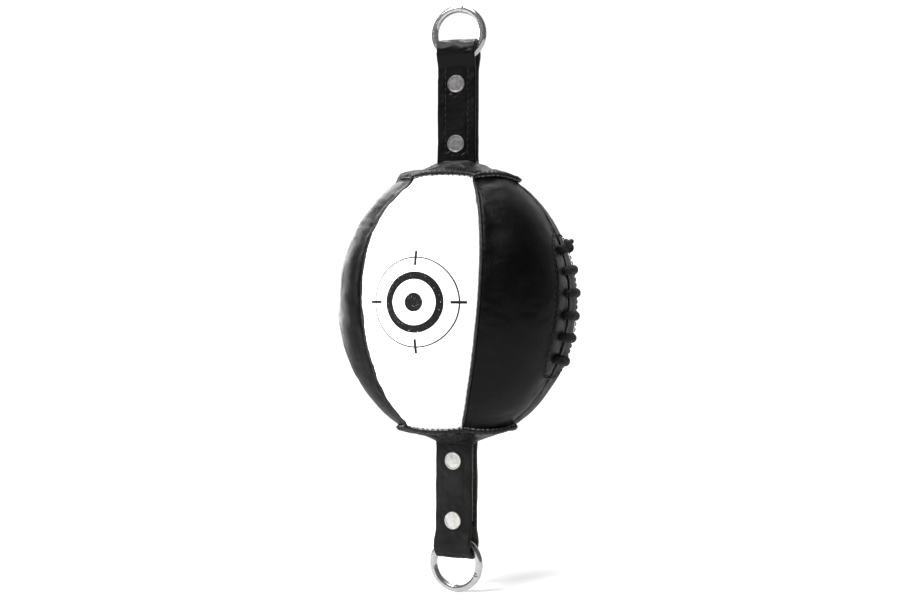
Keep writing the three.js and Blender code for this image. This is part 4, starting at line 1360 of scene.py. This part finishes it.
def facing_stitching():
    """The row of stitches round the facings, seen on the panels."""
    turn = np.linspace(0, 2 * np.pi, 500)
    level, rise = np.cos(turn), np.sin(turn)
    outline = np.abs(level) ** FACING_ROUNDNESS + np.abs(rise) ** FACING_END_SQUARENESS
    reach = FACING_STITCH_REACH * outline ** (-1 / FACING_ROUNDNESS)
    for _ in range(12):
        offset = FACING_HALF_WIDTH * level * reach
        height = SLIT_MIDDLE + FACING_HALF_LENGTH * rise * reach
        reach = reach / facing_reach(offset, height) * FACING_STITCH_REACH
    offset = FACING_HALF_WIDTH * level * reach
    height = SLIT_MIDDLE + FACING_HALF_LENGTH * rise * reach
    path = beside_slit(offset, height, -0.15 * MM)
    lift = beside_slit(offset, height, -1.15 * MM) - path
    near_seam = np.abs(offset) > 2.5 * MM
    parts = []
    for side in (offset < 0, offset > 0):
        order = np.flatnonzero(side & near_seam)
        order = order[np.argsort(height[order])]
        parts.append(stitches(path[order], lift[order], 4.2 * MM, 3.3 * MM, 0.4 * MM))
    points, faces = joined(parts)
    made = make_object("facing_stitching", points, faces, [THREAD])
    settle(made, "bag", "black_leather")


def tongue():
    """A loose flap of leather between the lace and the bladder."""
    across, up = np.linspace(-22, 22, 40) * MM, np.linspace(-54.5, 54.5, 90) * MM
    offset, height = np.meshgrid(across, SLIT_MIDDLE + up)
    soft = 0.6 * MM * ripples(beside_slit(offset, height, 0.0), 25 * MM, 110)
    layers = [beside_slit(offset, height, depth * MM + soft) for depth in (9.4, 10.6)]
    made = make_sheet("tongue_cut", *layers, [BLACK, FLESH, DARK_EDGE])
    settle(made, "bag", "black_leather", "tongue")


LINING_OPENING_ANGLE = 26  # degrees to each side of the laced seam
LINING_OPENING_HALF = 56 * MM  # of its height


def lining():
    angle, up = np.meshgrid(np.linspace(0, 360, 240, endpoint=False), np.linspace(-1, 1, 110))
    latitude = up * below_rim(angle, 2 * MM)
    soft = 0.5 * MM * ripples(ball_point(angle, latitude), 20 * MM, 111)
    layers = [ball_point(angle, latitude, depth * MM + soft) for depth in (4.7, 5.6)]
    height = BALL_HALF_HEIGHT * np.sin(latitude)
    beside = np.abs(angle - LACED_SEAM) < LINING_OPENING_ANGLE
    open_here = beside & (np.abs(height - SLIT_MIDDLE) < LINING_OPENING_HALF)
    kept = ~open_here[:-1, :]
    made = make_sheet("lining_sewn", *layers, [LINING, LINING, LINING], wrapped=True, kept=kept)
    settle(made, "bag", "lining_fabric", "lining")


# ---- Bladder ----

BLADDER_RADIUS = 78 * MM
BLADDER_HALF_HEIGHT = 82 * MM
BLADDER_SQUARENESS = 2.4  # 2 is an ellipse, and more is boxier
BLADDER_DENT = 9.5 * MM  # behind the lacing


def bladder():
    """A rubber ball, pushed in behind the lacing, with its valve hole at +X."""
    turn, tilt = np.meshgrid(full_turn(160), np.linspace(0.055, np.pi, 90))
    across = np.sin(tilt)
    towards = np.stack([np.cos(tilt), across * np.cos(turn), across * np.sin(turn)], axis=-1)
    level = np.hypot(towards[..., 0], towards[..., 1]) / BLADDER_RADIUS
    upright = np.abs(towards[..., 2]) / BLADDER_HALF_HEIGHT
    full = (level**BLADDER_SQUARENESS + upright**BLADDER_SQUARENESS) ** (-1 / BLADDER_SQUARENESS)
    here = towards * full[..., None]
    behind = (here[..., 0] > 0) * (1 - smooth_step(30 * MM, 48 * MM, np.abs(here[..., 1])))
    dent = BLADDER_DENT * behind * (1 - smooth_step(62 * MM, 76 * MM, np.abs(here[..., 2])))
    rib = 0.35 * MM * bell(np.sin(turn) * across, 0.012)
    layers = [towards * (full - dent + rib - depth)[..., None] for depth in (1.5 * MM, 0.0)]
    made = make_sheet("bladder_moulded", *layers, [RUBBER, RUBBER, RUBBER], wrapped=True)
    settle(made, "bag", "bladder_rubber", "bladder")


def valve():
    wall = BLADDER_RADIUS - BLADDER_DENT
    profile = [(0, -8), (2.4, -8), (2.6, -7.8), (3.4, -1.8), (3.4, 0.2), (6.6, 0.3), (6.9, 0.7), (6.2, 1.3),
               (1.5, 1.6), (0.9, 1.3), (0.8, -4), (0, -4)]
    points, faces = lathe(np.array(profile) * MM, 48)
    spots = np.stack([points[:, 2] + wall, points[:, 0], points[:, 1]], axis=-1)
    made = make_object("bladder_valve_moulded", spots, faces, [RUBBER])
    settle(made, "bag", "bladder_rubber", "bladder_valve")


lace()
facing("front", -1)
facing("rear", 1)
facing_stitching()
tongue()
lining()
bladder()
valve()

# ---- Floor, lights and camera ----

VIEW_AZIMUTH = math.radians(20)
VIEW_DISTANCE = 1.07
VIEW_WIDTH = 673.48 * MM  # seen across the frame, at the middle of the ball
VIEW_SHIFT = (-0.006084, 0.002544)  # in widths of the frame
VIEW_LEAN = math.radians(0.27)
FLOOR_HEIGHT = cad_low.z - 0.3 * MM


def studio_paper():
    """Pale paper, greyer where the object mirrors it, and evenly lit where the camera sees it far away."""
    finish = Finish("studio_paper")
    spot = finish.add("NewGeometry", {}, "Position")
    distance = finish.add("VectorMath", {0: spot}, "Value", operation="LENGTH")
    rays = finish.add("LightPath", {}, "Is Camera Ray").node.outputs
    mirrored = rays["Is Glossy Ray"]
    even = finish.math("MULTIPLY", rays["Is Camera Ray"], finish.ramp(distance, 0.5, 1.0))
    fibre = finish.noise(4.0, 4.0)
    pale = finish.blend(fibre, (0.82, 0.82, 0.82), (0.84, 0.84, 0.84))
    tone = finish.blend(even, finish.blend(mirrored, pale, (0.10, 0.10, 0.10)), (0.0, 0.0, 0.0))
    glow = finish.sum(finish.ramp(mirrored, 0.0, 1.0, 0.25, 0.55), even, 0.75)
    return finish.done(Base_Color=tone, Roughness=0.9, Emission_Color=(1, 1, 1), Emission_Strength=glow)


def backdrop():
    """A paper sweep: the floor, a round bend and an upright behind, turned to the camera."""
    bend_radius = 0.5
    back = 1.3
    turn = np.linspace(0, np.pi / 2, 24)
    run = np.concatenate([[-3.2, -1.5, 0.0], back - bend_radius + bend_radius * np.sin(turn), [back]])
    rise = np.concatenate([[0, 0, 0], bend_radius * (1 - np.cos(turn)), [3.2]])
    across = np.linspace(-3.5, 3.5, 15)
    x, y = np.meshgrid(across, run)
    z = np.broadcast_to(rise[:, None], x.shape) + FLOOR_HEIGHT
    cos, sin = math.cos(VIEW_AZIMUTH), math.sin(VIEW_AZIMUTH)
    points = np.stack([x * cos - y * sin, x * sin + y * cos, z], axis=-1)
    faces = grid_faces(np.arange(x.size).reshape(x.shape))
    make_object("backdrop", points, faces, [studio_paper()], crease=180)


def softbox(name, azimuth, elevation, distance, width, height, power, brightens=True, glints=True):
    """A rectangular light that faces the ball, placed by its direction from it.

    It brightens matt surfaces, shows as a glint in shiny ones, or does both.
    """
    data = bpy.data.lights.new(name, "AREA")
    data.shape = "RECTANGLE"
    data.size = width
    data.size_y = height
    data.energy = power
    light = bpy.data.objects.new(name, data)
    bpy.context.scene.collection.objects.link(light)
    light.visible_diffuse = brightens
    light.visible_glossy = glints
    light.visible_camera = False
    turn, lift = math.radians(azimuth), math.radians(elevation)
    towards = Vector((math.sin(turn) * math.cos(lift), -math.cos(turn) * math.cos(lift), math.sin(lift)))
    light.location = towards * distance
    light.rotation_euler = (-towards).to_track_quat("-Z", "Y").to_euler()


def lights():
    softbox("front_light", -22, 20, 1.8, 0.8, 0.8, 47, glints=False)
    softbox("key_light", -72, 30, 1.8, 0.35, 1.0, 13, glints=False)
    softbox("top_light", -10, 74, 1.5, 1.0, 0.8, 14)
    softbox("rim_light", -132, 4, 1.25, 0.5, 1.7, 13, brightens=False)
    softbox("rear_light", 205, 34, 2.0, 0.9, 0.9, 20)
    softbox("hair_light", 200, 60, 1.5, 0.6, 0.6, 7, brightens=False)
    softbox("sheen_light", -25, 48, 1.5, 0.4, 0.4, 5, brightens=False)
    world = bpy.data.worlds.new("studio")
    bpy.context.scene.world = world
    world.use_nodes = True
    nodes, links = world.node_tree.nodes, world.node_tree.links
    rays = nodes.new("ShaderNodeLightPath")
    strength = nodes.new("ShaderNodeMapRange")
    strength.inputs["To Min"].default_value = 0.03
    strength.inputs["To Max"].default_value = 1.0
    links.new(rays.outputs["Is Camera Ray"], strength.inputs["Value"])
    links.new(strength.outputs[0], nodes["Background"].inputs["Strength"])
    nodes["Background"].inputs["Color"].default_value = (1, 1, 1, 1)


def camera():
    data = bpy.data.cameras.new("camera")
    data.sensor_width = 36
    data.lens = data.sensor_width * VIEW_DISTANCE / VIEW_WIDTH
    data.shift_x, data.shift_y = VIEW_SHIFT
    view = bpy.data.objects.new("camera", data)
    bpy.context.scene.collection.objects.link(view)
    bpy.context.scene.camera = view
    upright = Matrix.Rotation(VIEW_AZIMUTH, 4, "Z") @ Matrix.Rotation(math.pi / 2, 4, "X")
    place = Vector((math.sin(VIEW_AZIMUTH), -math.cos(VIEW_AZIMUTH), 0)) * VIEW_DISTANCE
    view.matrix_world = Matrix.Translation(place) @ upright @ Matrix.Rotation(VIEW_LEAN, 4, "Z")


backdrop()
lights()
camera()
bpy.context.scene.view_settings.view_transform = "Standard"
bpy.context.scene.view_settings.exposure = 0.12
bpy.context.scene.view_settings.gamma = 0.8
